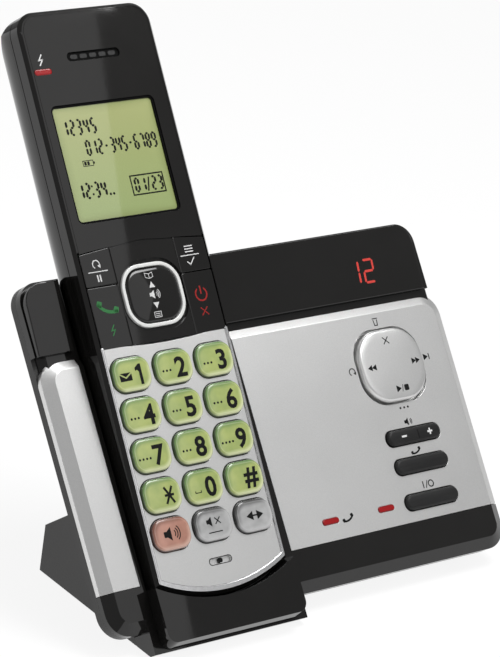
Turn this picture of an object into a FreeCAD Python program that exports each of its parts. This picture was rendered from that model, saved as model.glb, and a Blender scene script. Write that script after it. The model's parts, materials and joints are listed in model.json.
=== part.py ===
"""Cordless telephone answering machine: a handset standing in the cradle of a slanted base.

Every piece of the base is drawn in the frame of its front face (X to the right, Y up the slope, Z out of
the face, millimetres). Handset pieces are drawn the same way in the frame of the handset's own face. The
two faces share their origin column: X = 0 is the middle of the cradle. Stand pieces are drawn in the frame
of the table. The last section leans everything into its place, with the origin on the table.
"""
import FreeCAD, Part
import math
import os
import re
import Sketcher
from FreeCAD import Placement, Rotation, Vector

DOC = FreeCAD.newDocument("answering_machine")
SHEET = DOC.addObject("Spreadsheet::Sheet", "Sizes")

SIZES = {
    # what cutters run past, what joined forms run into each other, and tight fits
    "overcut": 1.0, "overrun": 20.0, "lap": 1.0, "sink": 0.5, "snug": 0.05, "round_end": 0.48,
    # how the faces stand
    "face_tilt": 51.1, "face_height": 64.6, "handset_lean": 2.75, "handset_rise": 7.0,
    # base slab and its bevel
    "panel_width": 83.4, "trim_width": 12.9, "slab_foot": 5.4, "slab_corner": 7.5, "crown_step": 2.4,
    "crown_top": 33.0, "crown_corner": 6.5, "cover_depth": 4.0, "rim_depth": 8.0, "bevel_run": 2.1,
    "bevel_drop": 3.6, "rim_ease": 1.2,
    # silver plates let into the cover
    "skin": 1.5, "seam": 0.15, "plate_top": 9.8, "band_height": 13.2, "trough_land": 2.2,
    "panel_corner": 5.0, "trim_corner": 2.6, "bed_rise": 1.4,
    # gloss caps above the plates
    "cap_seam": 1.2, "cap_left_step": 0.4, "cap_right_step": 2.7, "cap_top_step": 0.8, "cap_corner": 6.2,
    "cap_lift": 1.4, "cap_overlap": 1.2,
    # handset envelope
    "handset_corner": 6.5, "end_drop": 6.0, "end_band": 2.6, "head_band": 1.4, "side_depth": 6.0,
    "back_radius": 16.0, "heel": 9.0, "heel_front": 10.0, "neck_start": 24.0, "neck_thin": 4.6,
    "nose": 13.0, "nose_front": 7.0, "handset_wall": 1.8, "bezel": 1.0, "parting_ease": 0.3,
    "face_seat": 1.4,
    # cradle
    "cradle_gap": 0.6, "cradle_side_gap": 1.2, "trough_wall": 1.4, "trough_seam": 0.2, "lip_side": 1.3,
    "lip_rise": 5.0, "lip_reach": 10.6, "lip_slope": 1.2, "lip_gap": 0.7, "lip_ease": 3.0,
    "lip_land": 3.0, "lip_side_play": 3.0, "trough_front": 24.0, "trough_rise": 12.0, "trough_toe": 3.0,
    "trough_play": 0.1, "pedestal_side": 2.7, "tongue_lap": 8.0, "tongue_drop": 7.0,
    # rear housing and stand
    "shell_wall": 1.8, "hump_left_step": 2.0, "hump_right_step": 11.4, "hump_top_step": 7.0,
    "hump_low_step": 6.8, "hump_depth": 22.6, "hump_slope": 6.0, "stand_back": 8.5, "stand_shelf": 15.9,
    "stand_toe": 1.0, "toe_lap": 2.0, "toe_depth": 4.0, "toe_reach": 2.5, "table_reach": 80.0,
    "foot_rise": 0.8, "foot_radius": 4.0, "foot_seat": 0.8, "foot_ease": 0.4, "foot_back_inset": 4.6,
    "foot_front_y": -30.0, "foot_left_inset": 8.0, "foot_right_inset": 9.0,
    # control panel keys
    "pad_inset": 27.1, "pad_drop": 20.7, "pad_width": 25.2, "pad_height": 23.0, "pad_corner": 8.6,
    "pad_rise": 1.9, "pad_ease": 1.2, "pill_inset": 26.1, "pill_width": 21.0, "pill_height": 4.8,
    "pill_rise": 1.3, "volume_drop": 11.0, "find_drop": 9.1, "answer_drop": 11.2, "key_gap": 0.3,
    "rock_gap": 0.55, "flange": 1.0, "rock_flange": 0.6, "flange_depth": 0.9, "flange_gap": 0.3,
    "rock_drop": 0.9,
    "key_ease": 0.6, "key_travel": 0.8, "gimbal_radius": 4.0, "gimbal_gap": 0.25, "gimbal_thick": 0.95,
    "ridge_width": 2.0,
    # lights and message display
    "light_width": 6.3, "light_height": 1.8, "in_use_inset": 17.2, "answer_inset": 7.75,
    "light_rise": 0.25, "light_gap": 0.05, "display_inset": 26.5, "display_lift": 8.4,
    "display_width": 15.0, "display_height": 11.0, "display_gap": 0.2, "module_corner": 0.6,
    "digit_sink": 0.5, "digit_gap": 0.8, "digit_margin": 1.2,
    # base electronics
    "mat_thick": 1.0, "mat_gap": 0.3, "mat_margin": 0.4, "mat_side": 2.8, "mat_head": 2.4,
    "mat_corner": 2.0, "board_thick": 1.6, "board_inset": 2.2, "board_end": 3.6, "board_corner": 2.0,
    "dome_gap": 0.45, "rock_dome_rise": 0.35, "dome_half": 1.8, "dome_reach": 7.0, "boss_radius": 2.4,
    "boss_inset": 3.5, "post_inset": 9.0,
    "post_radius": 3.4, "post_drop": 1.0, "post_gap": 0.4, "screw_radius": 1.4, "screw_clear": 0.3,
    "screw_head": 2.7, "screw_seat": 3.2, "screw_head_height": 1.9, "screw_sink": 0.1, "screw_bite": 1.8,
    "screw_tip_gap": 0.2, "screw_cross": 0.8, "screw_cross_depth": 1.0, "speaker_u": -13.0,
    "speaker_radius": 14.0, "speaker_depth": 7.0, "speaker_rim": 1.6, "speaker_basket": 4.0,
    "basket_share": 0.86, "basket_ease": 1.6, "magnet_share": 0.5, "grille_slot": 1.4,
    "grille_pitch": 3.2, "grille_share": 0.78,
    # jacks in the back of the stand
    "line_x": 20.0, "line_width": 13.0, "line_height": 10.6, "jack_depth": 13.0, "jack_space": 10.8,
    "line_mouth_width": 9.6, "line_mouth_height": 6.6, "line_latch_width": 4.4, "line_latch_height": 2.4,
    "line_mouth_lift": 0.4, "mouth_depth": 10.5, "power_width": 9.4, "power_bore": 2.9, "power_pin": 1.0,
    "power_pin_sink": 1.5, "jack_gap": 0.2, "jack_sink": 0.1, "jack_corner": 0.5, "mouth_corner": 0.3,
    # charging contacts
    "contact_x": 6.5, "contact_lift": 5.4, "contact_radius": 1.3, "contact_gap": 0.2,
    "contact_length": 6.0, "contact_ease": 0.5, "contact_flange": 2.2, "contact_flange_depth": 0.8,
    "contact_flange_gap": 0.25, "contact_play": 0.15, "terminal_radius": 2.6, "terminal_tail": 0.5,
    # handset lens and display
    "lens_depth": 1.2, "lens_margin": 0.7, "lens_head": 13.2, "lens_corner": 5.0, "lens_foot": 6.6,
    "lens_sag": 1.2, "lens_gap": 0.1, "stem_margin": 0.7, "stem_foot": 0.6, "lcd_side": 4.85,
    "lcd_height": 34.0, "lcd_foot": 8.2, "lcd_margin": 2.2, "lcd_front": 1.5, "lcd_play": 0.75,
    "slot_lift": 14.8, "slot_width": 2.7, "slot_pitch": 3.7, "slot_sink": 0.6, "slot_length": 19.0,
    "slot_height": 2.8, "slot_land": 0.4, "receiver_radius": 7.4,
    "receiver_step": 0.8, "receiver_lip": 1.0, "receiver_space": 1.4, "charge_inset": 3.3,
    "charge_drop": 3.6, "charge_width": 6.1, "charge_height": 1.7, "charge_stem": 2.6,
    "charge_stem_shift": 1.0, "charge_rise": 0.15, "face_gap": 0.1, "lens_lap": 4.0,
    "opening_lap": 4.0, "opening_step": 0.5, "opening_corner": 3.0,
    # navigation and soft keys
    "nav_foot": 4.1, "ring_width": 21.4, "ring_height": 19.2, "ring_corner": 7.3, "ring_band": 1.5,
    "ring_rise": 0.4, "ring_ease": 0.3, "nav_gap": 0.35, "nav_rise": 0.8, "nav_ease": 0.6,
    "nav_flange": 0.8, "nav_reach": 5.5, "nav_ridge_half": 5.0, "nav_ridge_gap": 0.3, "soft_step": 4.8,
    "soft_gap": 0.4, "soft_depth": 3.0, "soft_travel": 0.5, "soft_ground": 0.1, "soft_ease": 0.5,
    "soft_reach_up": 5.0, "soft_reach_down": 9.0,
    # key plate and keys
    "rim_band": 1.0, "rim_rise": 0.3, "rim_foot": 0.2, "plate_head": 2.6, "plate_margin": 0.2,
    "plate_foot": 6.9,
    "keyplate_sag": 1.5, "key_width": 13.5, "key_height": 10.2, "key_space_x": 1.55, "key_space_u": 1.8,
    "key_corner": 4.2, "key_rise": 1.3, "key_flange": 0.6, "key_top_ease": 0.8, "function_height": 9.6,
    "function_space": 1.5, "mic_space": 5.7, "mic_width": 8.1, "mic_height": 2.0, "mic_radius": 2.4,
    "mic_bore": 0.8, "mic_gap": 0.2,
    # handset insides
    "pad_gap": 0.4, "pad_half": 1.6, "pad_thick": 0.4, "keymat_thick": 0.8, "keymat_gap": 0.4,
    "keymat_end": 2.8, "keyboard_gap": 0.8, "keyboard_step": 0.1, "keyboard_corner": 5.0,
    "battery_radius": 5.2, "battery_lap": 0.1, "battery_u_low": -44.0, "battery_length": 45.0,
    "battery_gap": 0.3, "door_margin": 4.6, "door_low_space": 3.0,
    "door_top_space": 7.0, "door_front": 15.0, "door_corner": 2.0, "door_seam": 0.2, "grip_drop": 4.0,
    "grip_pitch": 2.6, "grip_half": 6.0, "grip_width": 1.1, "grip_sink": 0.5,
    # sound slots in the back of the handset
    "vent_u": 66.0, "vent_radius": 8.0, "vent_pitch": 3.0, "vent_width": 1.4,
}

LINKS = {
    # handset face, worked out from its keys
    "key_pitch_x": "key_width + key_space_x",
    "key_pitch_u": "key_height + key_space_u",
    "function_u": "-3 * key_pitch_u - (key_height + function_height) / 2 - function_space",
    "mic_u": "function_u - function_height / 2 - mic_space",
    "plate_half": "key_pitch_x + key_width / 2 + plate_margin",
    "keyplate_top": "key_height / 2 + plate_head",
    "keyplate_low": "-mic_u + plate_foot",
    "face_half": "plate_half + rim_band",
    "handset_half": "face_half + bezel",
    "handset_low": "keyplate_low + end_band",
    "handset_depth": "side_depth + back_radius",
    "end_radius": "(handset_half^2 + end_drop^2) / (2 * end_drop)",
    "face_radius": "end_radius - (handset_half - face_half)",
    "keyplate_radius": "end_radius - (handset_half - plate_half)",
    "keyplate_bow": "(plate_half^2 + keyplate_sag^2) / (2 * keyplate_sag)",
    "stem_low": "keyplate_top + stem_foot",
    "nav_x": "0",
    "nav_u": "stem_low + nav_foot + ring_height / 2",
    "stem_half": "ring_width / 2 + stem_margin",
    "soft_inner": "stem_half + soft_gap",
    "soft_outer": "face_half - soft_gap",
    "soft_split": "nav_u + soft_step",
    "soft_floor": "soft_depth + soft_travel + soft_ground",
    "lens_half": "face_half - lens_margin",
    "lens_low": "nav_u + ring_height / 2 + lens_foot",
    "lens_bow": "(lens_half^2 + lens_sag^2) / (2 * lens_sag)",
    "lcd_half": "lens_half - lcd_side",
    "lcd_low": "lens_low + lcd_foot",
    "lcd_top": "lcd_low + lcd_height",
    "slot_u": "lcd_top + slot_lift",
    "charge_x": "-lens_half + charge_inset",
    "charge_u": "slot_u - charge_drop",
    "lens_top": "slot_u + lens_head",
    "handset_top": "lens_top + head_band",
    # handset stack, counted down from its face
    "key_low": "face_seat + flange_gap + flange_depth",
    "pad_top": "key_low + key_travel + pad_gap",
    "keymat_top": "pad_top + pad_thick",
    "parting": "keymat_top + keymat_thick",
    "keyboard_low": "parting + board_thick",
    "face_open_half": "lcd_half + lcd_margin + lcd_play",
    "key_open_half": "key_pitch_x + key_width / 2 + key_flange + key_gap",
    "inner_top": "slot_u + receiver_radius + receiver_space",
    "inner_low": "-mic_u + mic_radius + mic_gap",
    "keyboard_half": "handset_half - handset_wall - keyboard_gap",
    "keyboard_top": "slot_u + receiver_radius - keyboard_step",
    "keyboard_bottom": "handset_low - end_drop - handset_wall - 2 * keyboard_gap",
    "keymat_half": "face_open_half - keymat_gap",
    "keymat_u_low": "-function_u + function_height / 2 + keymat_end",
    "keymat_u_top": "lens_low - lens_margin",
    "battery_x": "battery_radius - battery_lap",
    "door_half": "2 * battery_radius + door_margin",
    "door_low": "battery_u_low - door_low_space",
    "door_top": "battery_u_low + battery_length + door_top_space",
    "contact_u": "-handset_low + heel + contact_lift",
    # base outline, worked out from the handset that stands in it
    "trim_inner": "handset_half + cradle_side_gap + trough_wall + trough_seam",
    "panel_inner": "trim_inner + trough_land",
    "slab_left": "trim_inner + trim_width",
    "slab_right": "panel_inner + panel_width",
    "slab_low": "handset_low + slab_foot",
    "plate_low": "slab_low - band_height",
    "crown_right": "slab_right - crown_step",
    "cap_low": "plate_top + cap_seam",
    "cap_top": "crown_top - cap_top_step",
    "cap_left": "slab_left - cap_left_step",
    "cap_right": "crown_right - cap_right_step",
    "lip_half": "handset_half + lip_side",
    "lip_low": "handset_low + lip_reach",
    "pedestal_half": "lip_half + pedestal_side",
    "hump_left": "trim_inner + hump_left_step",
    "hump_right": "slab_right - hump_right_step",
    "hump_top": "crown_top - hump_top_step",
    "hump_low": "slab_low - hump_low_step",
    "foot_left_x": "-pedestal_half + foot_left_inset",
    "foot_right_x": "hump_right - foot_right_inset",
    "power_x": "line_x + (line_width + power_width) / 2 + jack_space",
    # control panel
    "pad_x": "slab_right - pad_inset",
    "pad_u": "plate_top - pad_drop",
    "pill_x": "slab_right - pill_inset",
    "volume_u": "pad_u - pad_height / 2 - volume_drop",
    "find_u": "volume_u - find_drop",
    "answer_u": "find_u - answer_drop",
    "light_u": "answer_u",
    "in_use_x": "panel_inner + in_use_inset",
    "answer_x": "pill_x - pill_width / 2 - answer_inset",
    "display_x": "slab_right - display_inset",
    "display_u": "cap_low + display_lift",
    "digit_half": "((display_width - digit_gap) / 2 - digit_margin) / 2",
    "digit_x": "digit_gap / 2 + digit_half",
    # base stack, counted down from the panel's face
    "panel_flange_top": "skin + flange_gap",
    "rock_flange_top": "skin + rock_drop",
    "rock_low": "rock_flange_top + flange_depth",
    "gimbal_low": "rock_low + gimbal_gap + gimbal_thick",
    "mat_top": "gimbal_low + mat_gap",
    "mat_low": "mat_top + mat_thick",
    "board_low": "mat_low + board_thick",
    "dome_top": "panel_flange_top + flange_depth + key_travel + dome_gap",
    "rock_dome_top": "mat_top - rock_dome_rise",
    "mat_left": "pill_x - pill_width / 2 - flange - mat_side",
    "mat_right": "pad_x + pad_width / 2 + mat_margin",
    "mat_u_low": "-answer_u + pill_height / 2 + mat_margin",
    "mat_u_top": "pad_u + pad_height / 2 + mat_head",
    "board_left": "hump_left + board_inset",
    "board_right": "hump_right - board_inset",
    "board_bottom": "hump_low - board_end",
    "board_top": "hump_top - board_end",
    "boss_near_x": "board_left + boss_inset",
    "boss_far_x": "mat_left - boss_inset",
    "boss_low_u": "-board_bottom + boss_inset",
    "boss_top_u": "plate_top - boss_inset / 2",
    "post_near_x": "board_left + post_inset",
    "post_far_x": "mat_left - post_inset",
    "post_low_u": "speaker_u - speaker_radius - post_drop",
    "post_top_u": "hump_top - post_inset",
    "speaker_x": "(post_near_x + post_far_x) / 2",
}


def cell(text):
    """An expression on the sheet: linked names are written out and each alias is led by the sheet's name."""
    def write_out(match):
        name = match.group(0)
        if name in LINKS:
            return "(" + cell(LINKS[name]) + ")"
        return "Sizes." + name if name in SIZES else name
    return re.sub(r"[a-z_]+", write_out, str(text))


def value(text):
    """The number that an expression on the sheet's sizes gives now."""
    return float(SHEET.evalExpression(cell(text)))


for row, (alias, size) in enumerate(SIZES.items(), start=1):
    SHEET.set(f"A{row}", alias.replace("_", " "))
    SHEET.set(f"B{row}", str(size))
    SHEET.setAlias(f"B{row}", alias)
DOC.recompute()

PIECES = []


# ---------------------------------------------------------------- drawing helpers

def constrain(sketch, kind, *args):
    """Add a constraint; a last argument that is text is an expression on the sheet."""
    if isinstance(args[-1], str):
        index = sketch.addConstraint(Sketcher.Constraint(kind, *args[:-1], value(args[-1])))
        sketch.setExpression(f"Constraints[{index}]", cell(args[-1]))
    else:
        sketch.addConstraint(Sketcher.Constraint(kind, *args))


def rounded(sketch, left, right, low, top, corner):
    """A rectangle with four equal rounded corners, its sides and radius bound to the sheet."""
    x0, x1, y0, y1, r = (value(v) for v in (left, right, low, top, corner))
    lines = [((x0 + r, y0), (x1 - r, y0)), ((x1, y0 + r), (x1, y1 - r)),
             ((x1 - r, y1), (x0 + r, y1)), ((x0, y1 - r), (x0, y0 + r))]
    centres = [(x1 - r, y0 + r), (x1 - r, y1 - r), (x0 + r, y1 - r), (x0 + r, y0 + r)]
    side, bend = [], []
    for i in range(4):
        side.append(sketch.addGeometry(Part.LineSegment(*(Vector(*p, 0) for p in lines[i]))))
        circle = Part.Circle(Vector(*centres[i], 0), Vector(0, 0, 1), r)
        bend.append(sketch.addGeometry(Part.ArcOfCircle(circle, (i - 1) * math.pi / 2, i * math.pi / 2)))
    for i in range(4):
        constrain(sketch, "Tangent", side[i], 2, bend[i], 1)
        constrain(sketch, "Tangent", bend[i], 2, side[(i + 1) % 4], 1)
        constrain(sketch, "Vertical" if i % 2 else "Horizontal", side[i])
        if i:
            constrain(sketch, "Equal", bend[0], bend[i])
    constrain(sketch, "Radius", bend[0], corner)
    constrain(sketch, "DistanceX", -1, 1, side[3], 1, left)
    constrain(sketch, "DistanceX", -1, 1, side[1], 1, right)
    constrain(sketch, "DistanceY", -1, 1, side[0], 1, low)
    constrain(sketch, "DistanceY", -1, 1, side[2], 1, top)


def rounded_at(sketch, x_mid, u_mid, width, height, corner):
    """A rounded rectangle given by its middle and its size."""
    rounded(sketch, f"({x_mid}) - ({width}) / 2", f"({x_mid}) + ({width}) / 2",
            f"({u_mid}) - ({height}) / 2", f"({u_mid}) + ({height}) / 2", corner)


def span(sketch, left, right, low, top):
    """A plain rectangle given by its sides."""
    path(sketch, [(left, low), (right, low), (right, top), (left, top)])


def block_at(sketch, x_mid, u_mid, half_width, half_height):
    """A plain rectangle given by its middle and its half sizes."""
    span(sketch, f"({x_mid}) - ({half_width})", f"({x_mid}) + ({half_width})",
         f"({u_mid}) - ({half_height})", f"({u_mid}) + ({half_height})")


def circle_at(sketch, x_mid, u_mid, radius):
    """A circle bound to the sheet."""
    centre = Vector(value(x_mid), value(u_mid), 0)
    ring = sketch.addGeometry(Part.Circle(centre, Vector(0, 0, 1), value(radius)))
    constrain(sketch, "Radius", ring, radius)
    constrain(sketch, "DistanceX", -1, 1, ring, 3, x_mid)
    constrain(sketch, "DistanceY", -1, 1, ring, 3, u_mid)


def path(sketch, corners):
    """A closed outline through corners (x, y) or (x, y, radius): the radius bends the run that leaves the
    corner, to the right of its way when positive (counter-clockwise) and to the left when negative."""
    points = [Vector(value(c[0]), value(c[1]), 0) for c in corners]
    count = len(corners)
    runs = []
    for i, corner in enumerate(corners):
        start, end = points[i], points[(i + 1) % count]
        if len(corner) == 2:
            runs.append((sketch.addGeometry(Part.LineSegment(start, end)), 1, 2))
            continue
        radius = value(corner[2])
        chord = end - start
        half = chord.Length / 2
        left = Vector(-chord.y, chord.x, 0).normalize()
        reach = math.sqrt(max(radius * radius - half * half, 0.0))
        centre = start + chord * 0.5 + left * math.copysign(reach, radius)
        first, last = (start, end) if radius > 0 else (end, start)
        angles = [math.atan2(p.y - centre.y, p.x - centre.x) for p in (first, last)]
        arc = Part.ArcOfCircle(Part.Circle(centre, Vector(0, 0, 1), abs(radius)), *angles)
        index = sketch.addGeometry(arc)
        runs.append((index, 1, 2) if radius > 0 else (index, 2, 1))
        constrain(sketch, "Radius", index, f"abs({corner[2]})")
    for i, (index, first, _) in enumerate(runs):
        before, _, end_of_before = runs[i - 1]
        constrain(sketch, "Coincident", before, end_of_before, index, first)
        constrain(sketch, "DistanceX", -1, 1, index, first, str(corners[i][0]))
        constrain(sketch, "DistanceY", -1, 1, index, first, str(corners[i][1]))


# ---------------------------------------------------------------- feature helpers

FACE, ACROSS, SIDE = "XY_Plane", "XZ_Plane", "YZ_Plane"


def new_body(label):
    """An empty PartDesign body with a label."""
    body = DOC.addObject("PartDesign::Body", label + "_body")
    body.Label = label
    return body


def sketch_on(body, plane, level, draw, args, on_table=False):
    """A sketch on one of the body's own planes, moved along its normal to a level bound to the sheet.
    With on_table it is turned into the table's frame: X to the back and Y up from the table."""
    sketch = body.newObject("Sketcher::SketchObject", f"{body.Name}_outline")
    sketch.AttachmentSupport = [(next(f for f in body.Origin.OriginFeatures if f.Role == plane), "")]
    sketch.MapMode = "FlatFace"
    shift = f"-({level})" if plane == ACROSS else f"{level}"
    sketch.AttachmentOffset = Placement(Vector(0, 0, value(shift)), Rotation())
    sketch.setExpression("AttachmentOffset.Base.z", cell(shift))
    if on_table:
        offset = Placement(Vector(0, 0, value(shift)), Rotation(Vector(0, 0, 1), -value("face_tilt")))
        sketch.AttachmentOffset = offset
        sketch.setExpression("AttachmentOffset.Base.x", cell("-face_height * sin(face_tilt)"))
        sketch.setExpression("AttachmentOffset.Base.y", cell("-face_height * cos(face_tilt)"))
        sketch.setExpression("AttachmentOffset.Rotation.Angle", cell("-face_tilt"))
    draw(sketch, *args)
    return sketch


def solid(body, plane, low, high, draw, *args, on_table=False):
    """Add material between two levels."""
    start = high if plane == ACROSS else low
    sketch = sketch_on(body, plane, start, draw, args, on_table)
    pad = body.newObject("PartDesign::Pad", f"{body.Name}_pad")
    pad.Profile = sketch
    pad.Length = value(f"({high}) - ({low})")
    pad.setExpression("Length", cell(f"({high}) - ({low})"))
    sketch.Visibility = False
    DOC.recompute()
    return pad


def hollow(body, plane, low, high, draw, *args, on_table=False):
    """Cut material away between two levels."""
    before = body.Shape.Volume
    start = low if plane == ACROSS else high
    sketch = sketch_on(body, plane, start, draw, args, on_table)
    pocket = body.newObject("PartDesign::Pocket", f"{body.Name}_pocket")
    pocket.Profile = sketch
    pocket.Length = value(f"({high}) - ({low})")
    pocket.setExpression("Length", cell(f"({high}) - ({low})"))
    sketch.Visibility = False
    DOC.recompute()
    if not body.Shape.Volume < before - 1e-6:
        raise RuntimeError(f"{body.Label}: {pocket.Name} cuts nothing")
    return pocket


def ease(body, pick, size, fillet=True, drop=None):
    """Fillet or chamfer the picked edges of the body's latest shape."""
    tip = body.Tip
    names = [f"Edge{i}" for i, edge in enumerate(tip.Shape.Edges, start=1) if pick(edge)]
    feature = body.newObject("PartDesign::Fillet" if fillet else "PartDesign::Chamfer", f"{body.Name}_ease")
    feature.Base = (tip, names)
    if fillet:
        feature.Radius = value(size)
        feature.setExpression("Radius", cell(size))
    else:
        feature.Size = value(size)
        feature.setExpression("Size", cell(size))
        if drop:
            feature.ChamferType = "Two distances"
            feature.Size2 = value(drop)
            feature.setExpression("Size2", cell(drop))
    DOC.recompute()
    return feature


def at_level(level, tolerance=1e-3):
    """Pick edges that lie whole in the plane Z = level."""
    def pick(edge):
        box = edge.BoundBox
        return abs(box.ZMin - value(level)) < tolerance and abs(box.ZMax - value(level)) < tolerance
    return pick


def upright(edge):
    """Pick straight edges along Z."""
    box = edge.BoundBox
    return box.XLength < 1e-4 and box.YLength < 1e-4


def boolean(kind, label, base, *tools):
    """A Part boolean of whole objects: Cut, Common or Fuse."""
    result = base
    for number, tool in enumerate(tools):
        last = number == len(tools) - 1
        joined = DOC.addObject(f"Part::{kind}", f"{label}_{kind.lower()}")
        joined.Base, joined.Tool = result, tool
        joined.Label = label if last else f"{label}_{kind.lower()}_{number}"
        result = joined
    DOC.recompute()
    return result


def grouped(label, copies):
    """Identical pieces in one compound."""
    group = DOC.addObject("Part::Compound", label + "_group")
    group.Links = copies
    DOC.recompute()
    return group


def keep(piece, label, frame):
    """Register a finished sub-part under its node name, with the frame that it was drawn in."""
    piece.Label = label
    PIECES.append((piece, label, frame))
    return piece


# ---------------------------------------------------------------- shared forms

def slab_outline(sketch):
    """Lower outline of the base slab, under the silver plates and the black band."""
    rounded(sketch, "-slab_left", "slab_right", "-slab_low", "plate_top", "slab_corner")


def crown_outline(sketch, inset="0"):
    """Upper outline of the slab, a little narrower on the right, under the caps."""
    rounded(sketch, f"-slab_left + {inset}", f"crown_right - {inset}", "plate_top - 3 * crown_corner",
            f"crown_top - {inset}", "crown_corner")


def end_arc(half, low, radius, top):
    """A strip with straight sides whose lower end is one shallow arc."""
    drop = f"({radius} - sqrt({radius}^2 - ({half})^2))"
    shoulder = f"-({low}) + {drop}"
    return [(f"-({half})", shoulder, radius), (half, shoulder), (half, top), (f"-({half})", top)]


def handset_form(name, grow, side_grow, front, top, shaped):
    """The handset's envelope: its cross-section, its front outline and its side profile in common."""
    half, depth = f"(handset_half + {side_grow})", f"(handset_depth + {grow})"
    bend = f"(back_radius + {grow})"
    section = new_body(name + "_section")
    solid(section, ACROSS, "-handset_low - overrun", f"{top} + overcut", path, [
        (f"-{half}", front), (f"-{half}", f"-{depth} + {bend}", bend), (f"-{half} + {bend}", f"-{depth}"),
        (f"{half} - {bend}", f"-{depth}", bend), (half, f"-{depth} + {bend}"), (half, front)])
    outline = new_body(name + "_front")
    drop = f"(end_radius + {grow} - sqrt((end_radius + {grow})^2 - {half}^2))"
    shoulder = f"-(handset_low + {grow}) + {drop}"
    corners = [(f"-{half}", shoulder, f"(end_radius + {grow})"), (half, shoulder)]
    if shaped:
        corner = f"(handset_corner + {grow})"
        corners += [(half, f"{top} - {corner}", corner), (f"{half} - {corner}", top),
                    (f"-{half} + {corner}", top, corner), (f"-{half}", f"{top} - {corner}")]
    else:
        corners += [(half, top), (f"-{half}", top)]
    solid(outline, FACE, f"-{depth} - overcut", front, path, corners)
    side = new_body(name + "_side")
    low = f"(handset_low + {grow})"
    below, above = f"-{low} - overcut", f"{top} + overcut"
    corners = [(below, front), (below, "-heel_front"), (f"-{low}", "-heel_front"),
               (f"-{low} + heel", f"-{depth}"), ("neck_start", f"-{depth}")]
    if shaped:
        corners += [(f"{top} - nose", f"-{depth} + neck_thin"), (top, "-nose_front"),
                    (above, "-nose_front"), (above, front)]
    else:
        corners += [(top, f"-{depth} + neck_thin"), (top, front)]
    solid(side, SIDE, f"-{half} - overcut", f"{half} + overcut", path, corners)
    return boolean("Common", name, section, outline, side)


def leaned(piece):
    """Lay a handset-frame object into the base's face frame."""
    piece.Placement = Placement(Vector(0, 0, value("handset_rise")),
                                Rotation(Vector(1, 0, 0), value("handset_lean")))
    piece.setExpression("Placement.Base.z", cell("handset_rise"))
    piece.setExpression("Placement.Rotation.Angle", cell("handset_lean"))
    return piece


# ---------------------------------------------------------------- base: silver plates, caps and cover

def cover_envelope(name):
    """The front half of the slab: bevelled all round below the caps, with the crown step above."""
    body = new_body(name)
    solid(body, FACE, "-cover_depth", "0", slab_outline)
    ease(body, at_level("0"), "bevel_run", fillet=False, drop="bevel_drop")
    return body


def plate_core(name):
    """The cover under the silver plates: the envelope taken in by the plates' thickness."""
    body = new_body(name)
    solid(body, FACE, "-cover_depth - overcut", "-skin", rounded, "-slab_left + skin",
          "slab_right - skin", "-slab_low + skin", "plate_top + overrun", "slab_corner")
    ease(body, at_level("-skin"), "bevel_run", fillet=False, drop="bevel_drop - skin")
    return body


def plate_region(name, left, right, low, top, corner):
    """The block that bounds one silver plate, with a rounded upper outer corner."""
    body = new_body(name)
    solid(body, FACE, "-cover_depth", "overcut", path, [
        (left, low), (right, low), (right, f"{top} - {corner}", corner), (f"{right} - {corner}", top),
        (left, top)])
    return body


def silver_plate(label, left, right, corner):
    """One silver plate: the skin of the envelope between its bounds."""
    region = plate_region(label + "_region", left, right, "-plate_low", "plate_top - seam", corner)
    skin = boolean("Common", label + "_block", cover_envelope(label + "_envelope"), region)
    return boolean("Cut", label, skin, plate_core(label + "_core"))


def mirrored_region(label):
    """The left plate's bounds, with the rounded corner on the outer left."""
    body = new_body(label)
    solid(body, FACE, "-cover_depth", "overcut", path, [
        ("-slab_left - overcut", "-plate_low"), ("-trim_inner", "-plate_low"),
        ("-trim_inner", "plate_top - seam"),
        ("-slab_left + bevel_run + trim_corner", "plate_top - seam", "trim_corner"),
        ("-slab_left + bevel_run", "plate_top - seam - trim_corner"),
        ("-slab_left - overcut", "plate_top - seam - trim_corner")])
    return body


def left_trim_plate():
    """Narrow silver plate left of the cradle, folded over the bevel."""
    block = boolean("Common", "left_trim_block", cover_envelope("left_trim_envelope"),
                    mirrored_region("left_trim_region"))
    return boolean("Cut", "left_trim_plate", block, plate_core("left_trim_core"))


def light_opening(column):
    """The place and size of a light bar's opening."""
    return (column, "light_u", "light_width + 2 * light_gap", "light_height + 2 * light_gap",
            "round_end * light_height + light_gap")


def control_panel_plate():
    """Wide silver plate right of the cradle, with the key and light openings."""
    plate = silver_plate("control_panel_blank", "panel_inner", "slab_right + overcut",
                         "panel_corner + bevel_run")
    openings = [("pad_x", "pad_u", "pad_width + 2 * rock_gap", "pad_height + 2 * rock_gap",
                 "pad_corner + rock_gap"),
                ("pill_x", "volume_u", "pill_width + 2 * rock_gap", "pill_height + 2 * key_gap",
                 "round_end * pill_height + key_gap")]
    openings += [("pill_x", row, "pill_width + 2 * key_gap", "pill_height + 2 * key_gap",
                  "round_end * pill_height + key_gap") for row in ("find_u", "answer_u")]
    openings += [light_opening(column) for column in ("in_use_x", "answer_x")]
    cutter = new_body("control_panel_cutter")
    for opening in openings:
        solid(cutter, FACE, "-cover_depth", "overcut", rounded_at, *opening)
    return boolean("Cut", "control_panel_plate", plate, cutter)


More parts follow.
